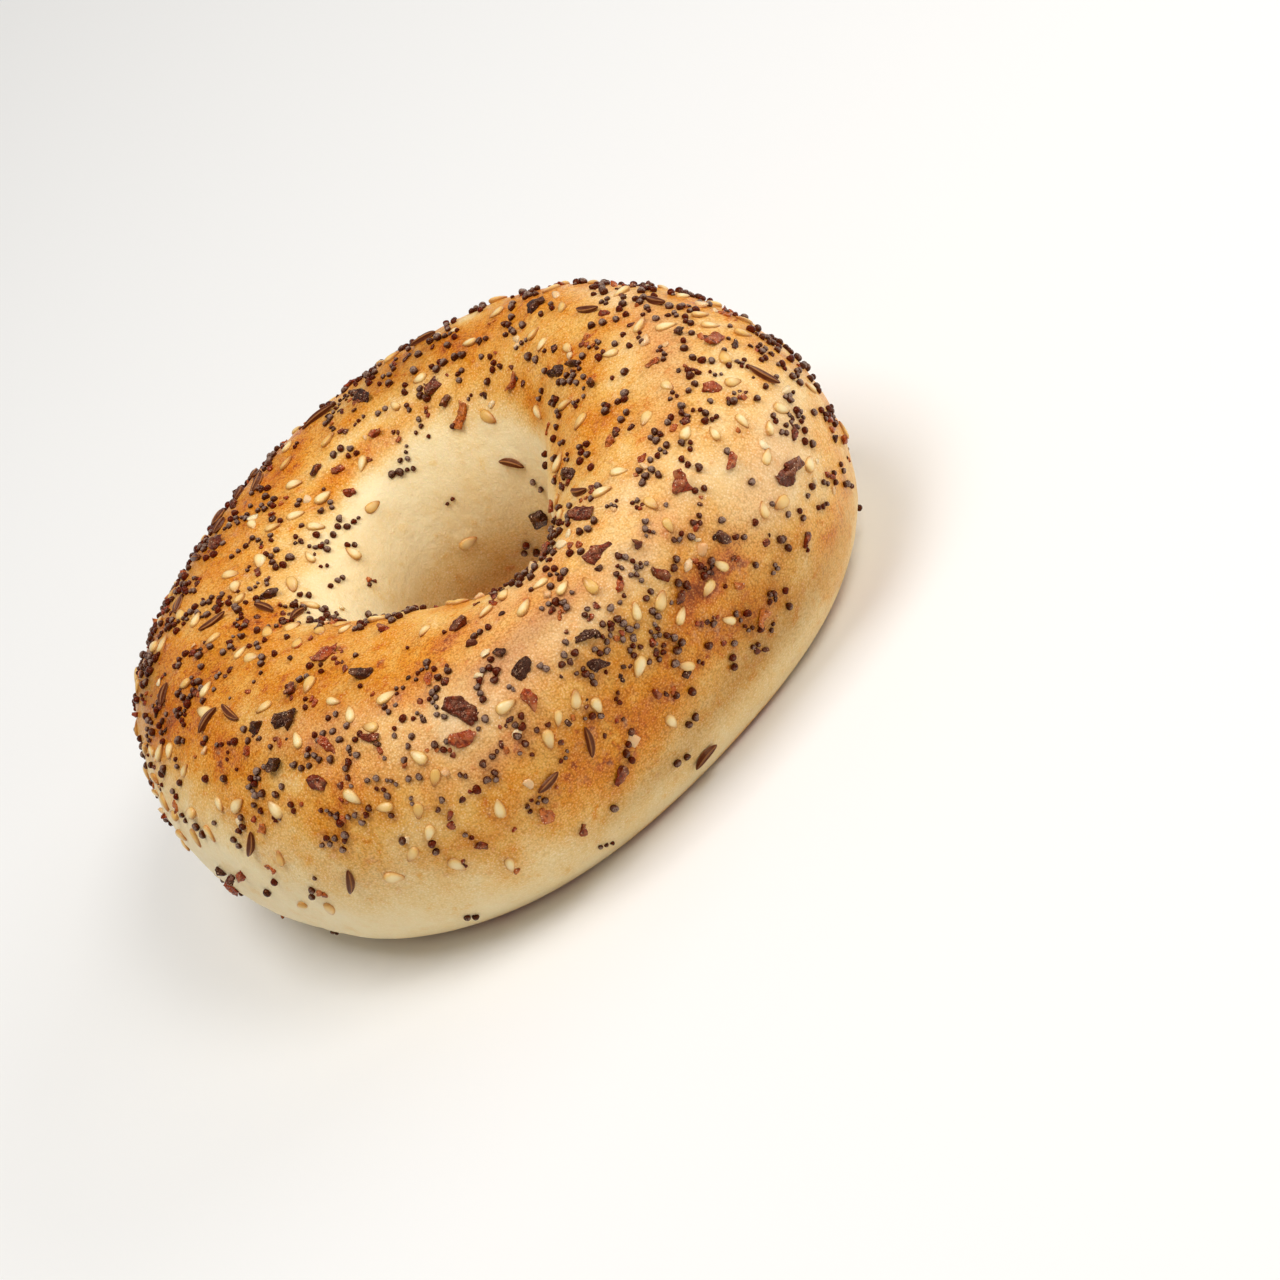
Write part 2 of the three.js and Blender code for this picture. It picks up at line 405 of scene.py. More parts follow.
@dataclass(frozen=True)
class Dough:
    """The ring of dough, in the sizes of the solid, with the relief that baking gives it."""

    ring_radius: float = 35.0
    rim_reach: float = 18.6
    hole_reach: float = 19.3
    crown_rise: float = 19.5
    belly_drop: float = 22.8
    middle_height: float = 19.8
    squareness: float = 0.82
    centre: tuple[float, float] = (1.1, -2.1)
    rim_lobes: Lobes = (Lobe(1, 2.7, 152), Lobe(2, 1.4, -1), Lobe(3, 2.1, -18), Lobe(4, 1.1, -22))
    hole_lobes: Lobes = (Lobe(1, 0.4, -176), Lobe(2, 1.5, 19), Lobe(3, 2.2, -16), Lobe(4, 2.2, -33))
    crown_lobes: Lobes = (Lobe(1, 1.2, 37), Lobe(2, 1.5, 9))
    nick_at: float = -76.0
    nick_spread: float = 11.0
    nick_depth: float = 2.5
    calm_from: float = 105.0
    calm_to: float = 215.0
    calm_share: float = 0.7
    heel: float = 0.9  # how softly the side turns into the flat base, in millimetres
    lump_sizes: tuple[tuple[float, float, int], ...] = (  # height, width and seed
        (0.55, 17.0, 1),
        (0.24, 8.0, 2),
        (0.1, 3.6, 3),
    )
    base_edge: tuple[float, float] = (0.5, 6.0)  # heights between which the relief sets in

    @staticmethod
    def swelling(lobes: Sequence[Lobe], around: Array) -> Array:
        """The sum of the lobes at each angle, each a cosine wave."""
        return sum(lobe.size * cosd(lobe.count * (around - lobe.at)) for lobe in lobes)

    def point(self, around: Array, over: Array) -> Array:
        """The smooth surface, in millimetres.

        Each quarter of the section is a rounded square: the reach times the cosine to the power of
        the squareness sideways, and the rise or the drop times the sine upwards. The belly is cut flat
        by the tray: the height is half the sum of itself and the root of its square and the heel's
        square.

        Args:
            around: angles round the ring.
            over: angles over the rope.

        Returns:
            The places, with x, y and z last.
        """
        outward, upward = cosd(over), sind(over)
        nick = self.nick_depth * bell(turn_between(self.nick_at, around), self.nick_spread)
        calm = 1.0 - self.calm_share * smooth(self.calm_from, self.calm_to, over)
        rim = self.rim_reach + self.swelling(self.rim_lobes, around)
        hole = self.hole_reach + (self.swelling(self.hole_lobes, around) - nick) * calm
        reach = np.where(outward > 0, rim, hole)
        crown = self.crown_rise + self.swelling(self.crown_lobes, around)
        rise = np.where(upward > 0, crown, self.belly_drop)
        radius = self.ring_radius + reach * np.sign(outward) * np.abs(outward) ** self.squareness
        height = self.middle_height + rise * upward
        height = (height + np.sqrt(height * height + self.heel**2)) / 2.0
        x = self.centre[0] + radius * cosd(around)
        y = self.centre[1] + radius * sind(around)
        return np.stack([x, y, height], -1)

    def above_base(self, place: Array) -> Array:
        """0 on the base, 1 on the side and above it."""
        return smooth(*self.base_edge, place[..., 2])

    def lumps(self, place: Array) -> Array:
        """How far the crust stands out of the smooth surface: noise of three sizes, none on the base."""
        total = sum(height * soft_noise(place, size, seed) for height, size, seed in self.lump_sizes)
        return total * self.above_base(place)

    def outward(self, around: Array, over: Array) -> tuple[Array, Array, Array]:
        """The smooth surface's directions: along the ring, over the rope, and out of the dough."""
        step = 0.4  # in degrees
        along = unit(self.point(around + step, over) - self.point(around - step, over))
        across = unit(self.point(around, over + step) - self.point(around, over - step))
        return along, across, unit(np.cross(along, across))

    def skin(self, around: Array, over: Array) -> Array:
        """The lumpy surface: the smooth one moved out by its lumps."""
        place = self.point(around, over)
        return place + self.outward(around, over)[2] * self.lumps(place)[..., None]

    def seats(self, batch: "Batch", tip: Array, lean: Array, lift: Array) -> tuple[Array, Array]:
        """Seats on the crust.

        Args:
            batch: where the seeds are, and the angle from the line of the ring to their length.
            tip: how far each one's length is tipped out of the crust.
            lean: how far it leans to one side.
            lift: how far its middle stands above the crust, in millimetres.

        Returns:
            The origins, and three axes each as columns: length, side and out.
        """
        along, _, out = self.outward(batch.around, batch.over)
        tilts = (tip[:, None], lean[:, None], batch.turn[:, None])
        tip_cos, lean_cos, turn_cos = (cosd(angle) for angle in tilts)
        tip_sin, lean_sin, turn_sin = (sind(angle) for angle in tilts)
        length = along * turn_cos + np.cross(out, along) * turn_sin
        side = np.cross(out, length)
        raised = out * tip_cos - length * tip_sin
        length = length * tip_cos + out * tip_sin
        axes = [length, side * lean_cos - raised * lean_sin, raised * lean_cos + side * lean_sin]
        origin = self.skin(batch.around, batch.over) + out * lift[:, None]
        return origin, np.stack(axes, -1)


# ------------------------------------------------------------------------------ what lies on the crust


class Make(Enum):
    """What a large bit is, and so how dark it is baked."""

    CARAWAY = "caraway"
    CHAR = "charred onion"
    BARK = "dark onion skin"
    BROWN = "browned onion"
    RED = "red-brown onion"
    AMBER = "amber onion"


CARAWAY, CHAR, BARK, BROWN, RED, AMBER = Make
BURN = {AMBER: 0.06, RED: 0.36, BROWN: 0.58, BARK: 0.68, CHAR: 0.86}


@dataclass(frozen=True)
class Bit:
    """One large bit that is listed: what, round, over, length in millimetres, and turn."""

    make: Make
    around: float
    over: float
    length: float
    turn: float


def bits(*rows: tuple[Make, float, float, float, float]) -> tuple[Bit, ...]:
    """Bits from rows of their five values."""
    return tuple(Bit(*row) for row in rows)


LARGE_BITS = bits(
    (CARAWAY, 97, 78, 6.2, 155), (CARAWAY, 69, 79, 5.4, 165), (CARAWAY, 116, 77, 4.6, 25),
    (CARAWAY, 128, 74, 4.2, 15), (CARAWAY, -158, 75, 5.2, 165), (CARAWAY, 174, 110, 3.8, 40),
    (CARAWAY, -178, 123, 4.4, 135), (CARAWAY, 14, 88, 4.5, 20), (CARAWAY, 3, 68, 4.6, 10),
    (CARAWAY, -22, 37, 5.2, 75), (CARAWAY, 40, 156, 4.2, 150), (CARAWAY, -54, 101, 3.6, 75),
    (CARAWAY, -78, -44, 4.6, 5), (CHAR, 86, 90, 3.6, 125), (CHAR, 34, 89, 3.4, 60),
    (AMBER, 58, 127, 3.8, 50), (BROWN, 66, 108, 3.4, 40), (CHAR, 6, 112, 2.8, 25),
    (CHAR, 42, 181, 4.2, 60), (CHAR, -45, 112, 3.6, 50), (BROWN, -62, 92, 4.0, 105),
    (BROWN, -69, 70, 4.0, 175), (CHAR, -84, 28, 3.5, 135), (CHAR, -94, 52, 3.4, 20),
    (BARK, -106, 54, 4.8, 120), (RED, -108, 41, 4.0, 150), (RED, -131, 62, 3.6, 120),
    (CHAR, -126, 89, 3.0, 165), (CHAR, -143, 75, 3.6, 75), (RED, -50, 54, 3.6, 60),
    (BROWN, -36, 15, 3.6, 175), (RED, -28, 58, 3.0, 100), (CHAR, -53, 23, 3.4, 115),
    (BROWN, -65, 36, 3.4, 105), (AMBER, -56, -14, 3.4, 15), (BROWN, -92, -18, 3.4, 25),
)

MORE_BITS = bits(
    (CARAWAY, 118, 66, 4.4, 40), (CARAWAY, 124, 64, 4.0, 15), (CARAWAY, 113, 66, 3.6, 50),
    (CARAWAY, 152, 75, 4.0, 175), (CARAWAY, 137, 72, 3.6, 65), (CARAWAY, 178, 65, 3.6, 130),
    (CARAWAY, -163, 69, 4.4, 85), (RED, -141, 98, 4.4, 55), (BROWN, 135, 82, 3.0, 0),
    (CHAR, 167, 113, 3.0, 115), (CHAR, -149, 71, 2.8, 5), (CHAR, -141, 74, 3.6, 75),
    (CHAR, -142, 57, 3.0, 0), (BROWN, -133, 48, 3.0, 170), (BROWN, -123, 61, 3.0, 160),
    (BROWN, -38, 15, 4.0, 145), (RED, -42, 39, 3.0, 15), (CHAR, -82, 42, 3.6, 150),
    (RED, -96, 38, 3.4, 90), (BROWN, -102, 94, 3.4, 15),
)


@dataclass
class Batch:
    """Placed toppings of one kind, one number each in every array."""

    around: Array
    over: Array
    length: Array
    turn: Array
    index: Array

    def joined(self, other: "Batch") -> "Batch":
        """This batch followed by the other."""
        pairs = zip(vars(self).values(), vars(other).values())
        return Batch(*(np.concatenate(pair) for pair in pairs))

    def picked(self, wanted: Array) -> "Batch":
        """The toppings that are wanted."""
        return Batch(*(values[wanted] for values in vars(self).values()))

    def __len__(self) -> int:
        """How many toppings there are."""
        return len(self.around)


@dataclass(frozen=True)
class Sowing:
    """How one kind is strewn: how many, how long, by which draws, and the gap between two."""

    count: int
    length: float
    channel: int
    gap: float = 0.5


@dataclass(frozen=True)
class Dusting:
    """How one kind of grain is scattered.

    The heads fall freely, and each may have company close by. Where two lie nearer than a share of the
    sum of their reaches, the later one is left out.
    """

    heads: int
    length: float
    seed: int
    apart: float
    company: tuple[float, ...] = ()  # the chance of each further grain
    company_seed: int = 0
    closest: float = 0.0  # how near the company may lie, in lengths


@dataclass
class Strewing:
    """The throwing of seeds on the dough: the same rule and the same draws as in the solid."""

    dough: Dough
    rim_bare: float = -35.0
    rim_full: float = 25.0
    hole_full: float = 112.0
    hole_bare: float = 150.0
    lowest: float = -45.0
    highest: float = 205.0
    thick_side: float = 170.0
    thick_share: float = 0.25
    everywhere: float = 0.05
    bare_side: float = 38.0
    bare_at: float = -155.0
    bare_spread: float = 38.0
    drifts: tuple[Patch, ...] = patches(
        (-68, 98, 18, 14, 1.6), (-176, 120, 9, 8, 1.2), (-78, 25, 24, 12, 0.8),
        (-120, 38, 10, 12, 0.6), (0, 70, 14, 8, 0.6), (-25, 28, 12, 10, 0.8), (5, 108, 8, 8, 0.9),
        (48, 118, 10, 8, 0.9), (80, 82, 12, 14, 0.8), (140, 68, 22, 10, 0.6),
        (-178, 60, 20, 10, 0.6), (-160, 90, 16, 16, -0.3), (28, 165, 9, 12, 1.6),
        (-50, -14, 24, 15, 1.6), (-115, 96, 18, 15, -0.7), (-20, 101, 17, 9, -0.6),
        (125, 100, 34, 9, -0.6), (-128, 8, 26, 13, -0.6), (22, 108, 11, 8, -0.6),
    )
    strew_tries: tuple[int, int] = (60, 400)  # draws for each wanted seed, and besides
    dust_tries: int = 30
    dust_chance: float = 0.6
    farthest: float = 1.5  # how far company may lie, in lengths
    widest: float = 54.0  # the ring's radius at its widest, in millimetres
    lowest_grain: float = 3.0
    places: list[Array] = field(default_factory=list)
    reaches: list[float] = field(default_factory=list)

    def cover(self, around: Array, over: Array) -> Array:
        """How thickly the seeds lie, 0 to 1: thick on the crown, thin down the rim and in the hole."""
        rim = smooth(self.rim_bare, self.rim_full, over)
        hole = 1.0 - smooth(self.hole_full, self.hole_bare, over)
        side = 1.0 - self.thick_share * (1.0 - cosd(around - self.thick_side)) / 2.0
        return np.maximum(rim * hole * side, self.everywhere)

    def evenness(self, place: Array) -> Array:
        """How wide the dough is at a place beside its widest, so that seeds don't crowd at the hole."""
        radius = np.hypot(place[..., 0] - self.dough.centre[0], place[..., 1] - self.dough.centre[1])
        return radius / (self.dough.ring_radius + self.dough.rim_reach)

    def take(self, place: Array, reach: float) -> None:
        """Marks a place as taken."""
        self.places.append(place)
        self.reaches.append(reach)

    def clear(self, place: Array, reach: float) -> bool:
        """Whether a seed of this reach lies clear of all that are there."""
        distance = np.linalg.norm(np.array(self.places) - place, axis=-1)
        return bool(np.all(distance > np.array(self.reaches) + reach))

    def place_bits(self, placed: Sequence[Bit]) -> None:
        """Marks the large bits as taken."""
        for bit in placed:
            self.take(self.dough.point(np.array(bit.around), np.array(bit.over)), bit.length / 2.0)

    def strew(self, sowing: Sowing) -> Batch:
        """Strews seeds one by one, kept clear of all that already lie there.

        Args:
            sowing: how many, how long, how far apart and by which draws.

        Returns:
            The placed seeds.
        """
        channel, reach = sowing.channel, sowing.length / 2.0
        index = np.arange(self.strew_tries[0] * sowing.count + self.strew_tries[1])
        around = 360.0 * draw(index, channel)
        over = self.lowest + (self.highest - self.lowest) * draw(index, channel + 1)
        place = self.dough.point(around, over)
        wanted = draw(index, channel + 2) < self.cover(around, over) * self.evenness(place)
        chosen = []
        for i in index[wanted]:
            if len(chosen) < sowing.count and self.clear(place[i], reach + sowing.gap):
                self.take(place[i], reach)
                chosen.append(i)
        picked = np.array(chosen)
        length = sowing.length * (0.85 + 0.3 * draw(picked, channel + 3))
        turn = 360.0 * draw(picked, channel + 4)
        return Batch(around[picked], over[picked], length, turn, picked + channel)

    def scatter(self, dusting: Dusting) -> Batch:
        """Scatters small grains: the heads, their company, and neither where it is crowded."""
        return self.thinned(self.clusters(self.dust(dusting), dusting), dusting.apart)

    def dust(self, dusting: Dusting) -> Batch:
        """Scatters the heads as whole arrays: many draws, of which the wanted ones are kept.

        Args:
            dusting: how many, how long and by which draws.

        Returns:
            The placed grains.
        """
        rng = np.random.default_rng(dusting.seed)
        tries = self.dust_tries * dusting.heads
        around = rng.uniform(0.0, 360.0, tries)
        over = rng.uniform(self.lowest, self.highest, tries)
        place = self.dough.point(around, over)
        patchy = 0.6 + 0.6 * soft_noise(place, 7.0, dusting.seed)
        bare = self.bare_side * bell(turn_between(self.bare_at, around), self.bare_spread)
        drift = np.maximum(1.0 + patched(self.drifts, around, over), 0.0)
        chance = self.dust_chance * self.cover(around, over - bare) * self.evenness(place) * patchy
        picked = np.flatnonzero(rng.uniform(0.0, 1.0, tries) < chance * drift)[: dusting.heads]
        length = dusting.length * rng.uniform(0.65, 1.35, len(picked))
        turn = rng.uniform(0.0, 360.0, len(picked))
        return Batch(around[picked], over[picked], length, turn, picked)

    def clusters(self, heads: Batch, dusting: Dusting) -> Batch:
        """Sets a few more grains close by each head, as small seeds cling together.

        A step along the ring is an arc of the ring's own radius there, and one over the rope an arc of
        the rope's.

        Args:
            heads: the first grain of each cluster.
            dusting: how likely and how near the further ones are.

        Returns:
            The heads and their neighbours.
        """
        rng = np.random.default_rng(dusting.company_seed)
        size = (len(dusting.company), len(heads))
        away = heads.length * rng.uniform(dusting.closest, self.farthest, size)
        heading = rng.uniform(0.0, 360.0, size)
        radius = self.evenness(self.dough.point(heads.around, heads.over)) * self.widest
        around = heads.around + np.degrees(away * cosd(heading) / radius)
        over = heads.over + np.degrees(away * sind(heading) / self.dough.crown_rise)
        there = rng.uniform(0.0, 1.0, size) < np.array(dusting.company)[:, None]
        length = heads.length * rng.uniform(0.85, 1.15, size)
        turn = rng.uniform(0.0, 360.0, size)
        index = heads.index + 7 * np.arange(1, size[0] + 1)[:, None]
        company = (values[there] for values in (around, over, length, turn, index))
        return heads.joined(Batch(*company))

    def thinned(self, batch: Batch, share: float) -> Batch:
        """Leaves out what is too low, and what lies too close to an earlier grain or a taken place.

        Args:
            batch: the placed grains.
            share: how much of the sum of two reaches must lie between their middles.

        Returns:
            The grains that are left.
        """
        place = self.dough.point(batch.around, batch.over)
        reach = batch.length / 2.0
        apart = np.linalg.norm(place[:, None] - place[None], axis=-1)
        crowded = np.triu(apart < share * (reach[:, None] + reach[None]), 1).any(axis=0)
        off = np.linalg.norm(place[:, None] - np.array(self.places)[None], axis=-1)
        covered = (off < share * (np.array(self.reaches)[None] + reach[:, None])).any(axis=1)
        return batch.picked((place[:, 2] > self.lowest_grain) & ~crowded & ~covered)


def rock(directions: Array, index: Array, planes: int, sharpness: float) -> Array:
    """Rough chunks, one for each index, inside a box of size 1.

    Each chunk is cut by the six sides of the box and by planes at drawn angles and distances. Its
    radius in a direction is the soft least of the distances to them: the sum of (cosine / distance) to
    a high power, to the power of minus one over that.

    Args:
        directions: the directions of the ball's points.
        index: one whole number for each chunk.
        planes: how many planes besides the box.
        sharpness: the power, higher for crisper edges.

    Returns:
        The points, chunk by chunk.
    """
    number = index[:, None] * 31 + np.arange(planes)
    tall = 2.0 * draw(number, 3) - 1.0
    round_about = 360.0 * draw(number, 5)
    flat = np.sqrt(1.0 - tall * tall)
    normals = np.stack([flat * cosd(round_about), flat * sind(round_about), tall], -1)
    distance = 0.5 + 0.45 * draw(number, 7)
    box = np.broadcast_to(np.concatenate([np.eye(3), -np.eye(3)]), (len(index), 6, 3))
    normals = np.concatenate([box, normals], 1)
    distance = np.concatenate([np.ones((len(index), 6)), distance], 1)
    facing = np.maximum(np.einsum("vj,nkj->nvk", directions, normals), 0.0) / distance[:, None, :]
    radius = np.sum(facing**sharpness, -1) ** (-1.0 / sharpness)
    return 0.5 * directions * radius[..., None]


# ------------------------------------------------------------------------------ finishes


class Finish(ABC):
    """How a surface looks."""

    @abstractmethod
    def material(self) -> bpy.types.Material:
        """Builds the material, from noise of many sizes and the marks stored on the mesh."""


@dataclass(frozen=True)
class CrustFinish(Finish):
    """Baked crust: cream dough through gold to chestnut, blotched, with a fine glossy crinkle, painted
    glints on its tops, painted sheen and painted shade.
    """

    cream: Colour = srgb(246, 227, 180)
    straw: Colour = srgb(241, 207, 141)
    gold: Colour = srgb(234, 175, 82)
    amber: Colour = srgb(224, 140, 20)
    chestnut: Colour = srgb(203, 103, 4)
    umber: Colour = srgb(146, 60, 2)
    stain: Colour = srgb(178, 92, 24)
    rust: Colour = srgb(200, 98, 30)
    freckle: Colour = srgb(112, 54, 22)
    flour: Colour = srgb(243, 219, 168)
    # the colour of the painted sheen
    sheen_peach: Colour = srgb(238, 184, 144)
    # the colours of the painted glints on the tops of the fine crinkle
    glint_pale: Colour = srgb(253, 228, 194)
    glint_gold: Colour = srgb(252, 190, 96)
    glint: Colour = (1.0, 0.84, 0.64)
    # the colour that the painted shade in the pits multiplies in
    pit_shade: Colour = srgb(200, 186, 168)
    # the colour that the painted shade multiplies in
    shade: Colour = srgb(120, 104, 82)

    def material(self) -> bpy.types.Material:
        """Builds the material from the marks "toast" and "stain", and those of the painted sheen and the
        painted shade.
        """
        bench = Bench("baked_crust")
        toast = bench.mark("toast")
        edges = bench.mottle(2.6, 4.0, 0.65)
        fine = bench.mottle(1.0, 3.0, 0.6)
        domes = bench.cells(0.34)
        grain = bench.mottle(0.24, 2.0, 0.7)
        patchy = edges.step(0.2, 0.5) * 0.24 - bench.mottle(4.2, 3.0, 0.6).step(0.25, 0.55) * 0.14
        blotch = bench.mottle(7.0, 3.0) * 0.36 + edges * 0.22 + fine * 0.18 + patchy * 1.2
        baked = toast + blotch * (toast * 0.75 + 0.25) + 0.02
        browning = (self.cream, self.straw, self.gold, self.amber, self.chestnut, self.umber)
        freckles = bench.dots(1.7, 0.05, 0.15) * bench.mottle(5.0).step(-0.1, 0.4)
        rust = bench.dots(2.3, 0.1, 0.34) * bench.mottle(3.4, 2.0).step(0.0, 0.4)
        dust = bench.dots(3.1, 0.1, 0.4) * edges.step(0.0, 0.6)
        wrinkles = (0.2 - abs(bench.mottle(1.4, 2.0))).step(0.0, 0.2)
        wrinkles = wrinkles * bench.mottle(4.0).step(0.1, 0.6)
        # patches where the crust is glossier: they raise the coat, and in the colour they lay on peach
        # as a painted sheen
        gloss_and_sheen = bench.mottle(3.2, 3.0, 0.6).step(0.0, 0.6) * fine.step(-0.4, 0.5)
        # painted glints: pale specks on the tops of the fine domes
        glinting_tops = (grain * 0.8 - domes * 1.4 + 0.9).step(0.3, 1.0)
        # the pits between the fine domes
        shaded_pits = (domes * 1.6 - grain * 0.8 - 0.6).step(0.1, 0.9)
        colour = bench.layered(
            bench.ramp(baked, tuple(zip((0.0, 0.2, 0.42, 0.64, 0.84, 1.0), browning))),
            (bench.mark("stain") * 0.5, self.stain),
            (freckles * (toast * 0.7 + 0.1), self.freckle),
            (rust * (toast * 0.7 + 0.05), self.rust),
            (dust * (0.6 - toast * 0.4), self.flour),
            (wrinkles * (0.4 - toast * 0.34), self.flour),
            # painted sheen: peach over the glossy patches and the listed sheen patches
            (gloss_and_sheen * toast * 0.16 + bench.mark("blush") * 0.46, self.sheen_peach),
            # painted glints on the dome tops, paler on cream and golder on brown
            (glinting_tops * (0.8 - toast * 0.38), bench.mix(toast.step(0.2, 0.8), self.glint_pale, self.glint_gold)),
        )
        # painted shade in the pits between the fine domes, stronger on brown
        colour = bench.mix(shaded_pits * (toast * 1.4), colour, self.pit_shade, "MULTIPLY")
        # painted shade: darker on the lower near flank, deep in the hole and at listed spots on the
        # crown
        colour = bench.mix(bench.mark("dull"), colour, self.shade, "MULTIPLY")
        leather = grain * 0.05 - domes.step(0.0, 0.8) * 0.12
        height = fine * 0.04 + edges * 0.06 + wrinkles * 0.03 + leather * (toast * 0.36 + 0.08)
        return bench.finish(
            base_color=colour,
            roughness=0.44 - toast * 0.14 + grain * 0.05,
            coat_weight=toast * gloss_and_sheen * 0.5,
            coat_roughness=0.24,
            specular_ior_level=0.36,
            specular_tint=self.glint,
            normal=bench.bump(height),
            subsurface_weight=0.08,
            subsurface_radius=(0.9, 0.5, 0.25),
            subsurface_scale=1.2 * MM,
        )


@dataclass(frozen=True)
class PoppyFinish(Finish):
    """Poppy seed: maroon and dark brown to warm slate, with a net of fine pits; slate on the tops is a
    painted highlight, and the pits are darkened as painted shade.
    """

    slate: Colour = srgb(142, 116, 102)
    brown: Colour = srgb(74, 23, 1)
    maroon: Colour = srgb(90, 17, 0)
    # darkens the pits as painted shade
    hollow_shade: Colour = srgb(140, 100, 76)
    glint: Colour = (1.0, 0.62, 0.3)

    def material(self) -> bpy.types.Material:
        """Builds the material from the marks "shade" and "top"."""
        bench = Bench("poppy_skin")
        shade = bench.mark("shade")
        base = bench.mix(shade.step(0.05, 0.5), self.maroon, self.brown)
        # slate on seeds drawn pale, and on their tops as a painted highlight
        slate_and_lit_top = (shade * 0.9 + bench.mottle(0.45) * 0.4 + bench.mark("top")).step(0.8, 1.55)
        colour = bench.mix(slate_and_lit_top, base, self.slate)
        # the net's pits, darkened below as painted shade
        net = bench.cells(0.26).step(0.1, 0.5)
        colour = bench.mix(1.0 - net, colour, self.hollow_shade, "MULTIPLY")
        return bench.finish(
            base_color=colour,
            roughness=0.26 - net * 0.08,
            specular_ior_level=0.28,
            specular_tint=self.glint,
            normal=bench.bump(net * 0.08),
        )


@dataclass(frozen=True)
class SesameFinish(Finish):
    """Hulled sesame: cream, toasted gold here and there, browner at the point, and gold to brown towards
    the rim, partly toasting and partly painted shade on the sides.
    """

    cream: Colour = srgb(244, 219, 163)
    gold: Colour = srgb(226, 174, 86)
    rim: Colour = srgb(184, 118, 52)

    def material(self) -> bpy.types.Material:
        """Builds the material from the marks "shade", "tip" and "edge"."""
        bench = Bench("sesame_hull")
        shade, edge = bench.mark("shade"), bench.mark("edge")
        blotch = bench.mottle(0.7, 3.0)
        browned = bench.mark("tip").step(0.45, 1.0) * (0.25 + shade * 0.75)
        colour = bench.layered(
            bench.mix(shade.step(0.25, 1.0) * 0.9, self.cream, self.gold),
            # gold and brown towards the rim: partly toasted edges, partly painted shade down the sides
            (edge.step(0.05, 0.5) * 0.8 + blotch * 0.25, self.gold),
            (browned + edge.step(0.4, 0.9) * 0.75, self.rim),
        )
        return bench.finish(
            base_color=colour,
            roughness=0.30 + blotch * 0.04,
            specular_ior_level=0.45,
            normal=bench.bump(bench.mottle(0.35, 2.0) * 0.02),
            subsurface_weight=0.15,
            subsurface_radius=(1.0, 0.7, 0.4),
            subsurface_scale=0.5 * MM,
        )


@dataclass(frozen=True)
class CarawayFinish(Finish):
    """Caraway: dark brown with pale raised ribs."""

    dark: Colour = srgb(86, 34, 10)
    rib: Colour = srgb(196, 130, 70)
    glint: Colour = (1.0, 0.72, 0.46)

    def material(self) -> bpy.types.Material:
        """Builds the material from the marks "rib" and "shade"."""
        bench = Bench("caraway_husk")
        grain = bench.mottle(0.6, 3.0)
        lit = bench.mark("rib").step(0.65, 1.0) * (0.35 + bench.mark("shade") * 0.45)
        colour = bench.mix(lit + grain * 0.12, self.dark, self.rib)
        return bench.finish(
            base_color=colour,
            roughness=0.34 + grain * 0.05,
            specular_ior_level=0.4,
            specular_tint=self.glint,
            normal=bench.bump(grain * 0.03),
        )


@dataclass(frozen=True)
class FlakeFinish(Finish):
    """Dried onion: amber through red-brown to charcoal, grainy and looking wet, with pale tops that are
    partly dry skin and partly painted sheen, painted glints, and painted shade in the hollows.
    """

    amber: Colour = srgb(206, 114, 38)
    rust: Colour = srgb(152, 48, 12)
    brown: Colour = srgb(94, 27, 6)
    char: Colour = srgb(50, 13, 4)
    # darkens the hollows of the folds as painted shade
    hollow_shade: Colour = srgb(110, 68, 52)
    # pale dry skin, and painted sheen on the tops
    skin_sheen: Colour = srgb(204, 138, 88)
    # the colour of the painted glints
    painted_glint: Colour = srgb(246, 206, 170)
    glint: Colour = (1.0, 0.6, 0.4)

    def material(self) -> bpy.types.Material:
        """Builds the material from the marks "burn" and "top"."""
        bench = Bench("onion_flake")
        top = bench.mark("top")
        vein = bench.mottle(1.0, 4.0, 0.7)
        burnt = bench.mark("burn") + vein * 0.38
        folds = bench.mottle(0.55, 3.0, 0.6)
        stops = ((0.0, self.amber), (0.35, self.rust), (0.6, self.brown), (0.85, self.char))
        colour = bench.ramp(burnt, stops)
        # painted shade in the hollows of the folds
        colour = bench.mix(folds.step(0.1, -0.5) * 0.75, colour, self.hollow_shade, "MULTIPLY")
        # pale tops: partly dry skin, partly painted sheen
        dry_skin_and_sheen = (top * 0.8 + folds * 0.5).step(0.3, 1.0) * bench.mottle(0.9).step(-0.4, 0.5)
        # painted glints: small bright dots, mostly on the tops
        points = bench.dots(0.5, 0.06, 0.26) * (top + folds * 0.6).step(0.2, 0.9)
        colour = bench.layered(
            colour, (dry_skin_and_sheen * (0.66 - burnt * 0.52), self.skin_sheen), (points * 0.8, self.painted_glint)
        )
        return bench.finish(
            base_color=colour,
            roughness=0.13 + vein * 0.06,
            specular_ior_level=0.6,
            specular_tint=self.glint,
            normal=bench.bump(folds * 0.10 - bench.cells(0.4) * 0.04),
        )


@dataclass(frozen=True)
class SaltFinish(Finish):
    """Coarse salt and clear onion: cream to amber grains that let a little light in."""

    cream: Colour = srgb(238, 212, 164)
    amber: Colour = srgb(224, 166, 104)

    def material(self) -> bpy.types.Material:
        """Builds the material from the mark "shade"."""
        bench = Bench("coarse_salt")
        cloud = bench.mottle(0.4, 2.0)
        colour = bench.mix(bench.mark("shade") + cloud * 0.15, self.cream, self.amber)
        return bench.finish(
            base_color=colour,
            roughness=0.26 + cloud * 0.06,
            normal=bench.bump(cloud * 0.03),
            subsurface_weight=0.3,
            subsurface_radius=(1.0, 0.7, 0.4),
            subsurface_scale=0.6 * MM,
        )


# ------------------------------------------------------------------------------ the pieces


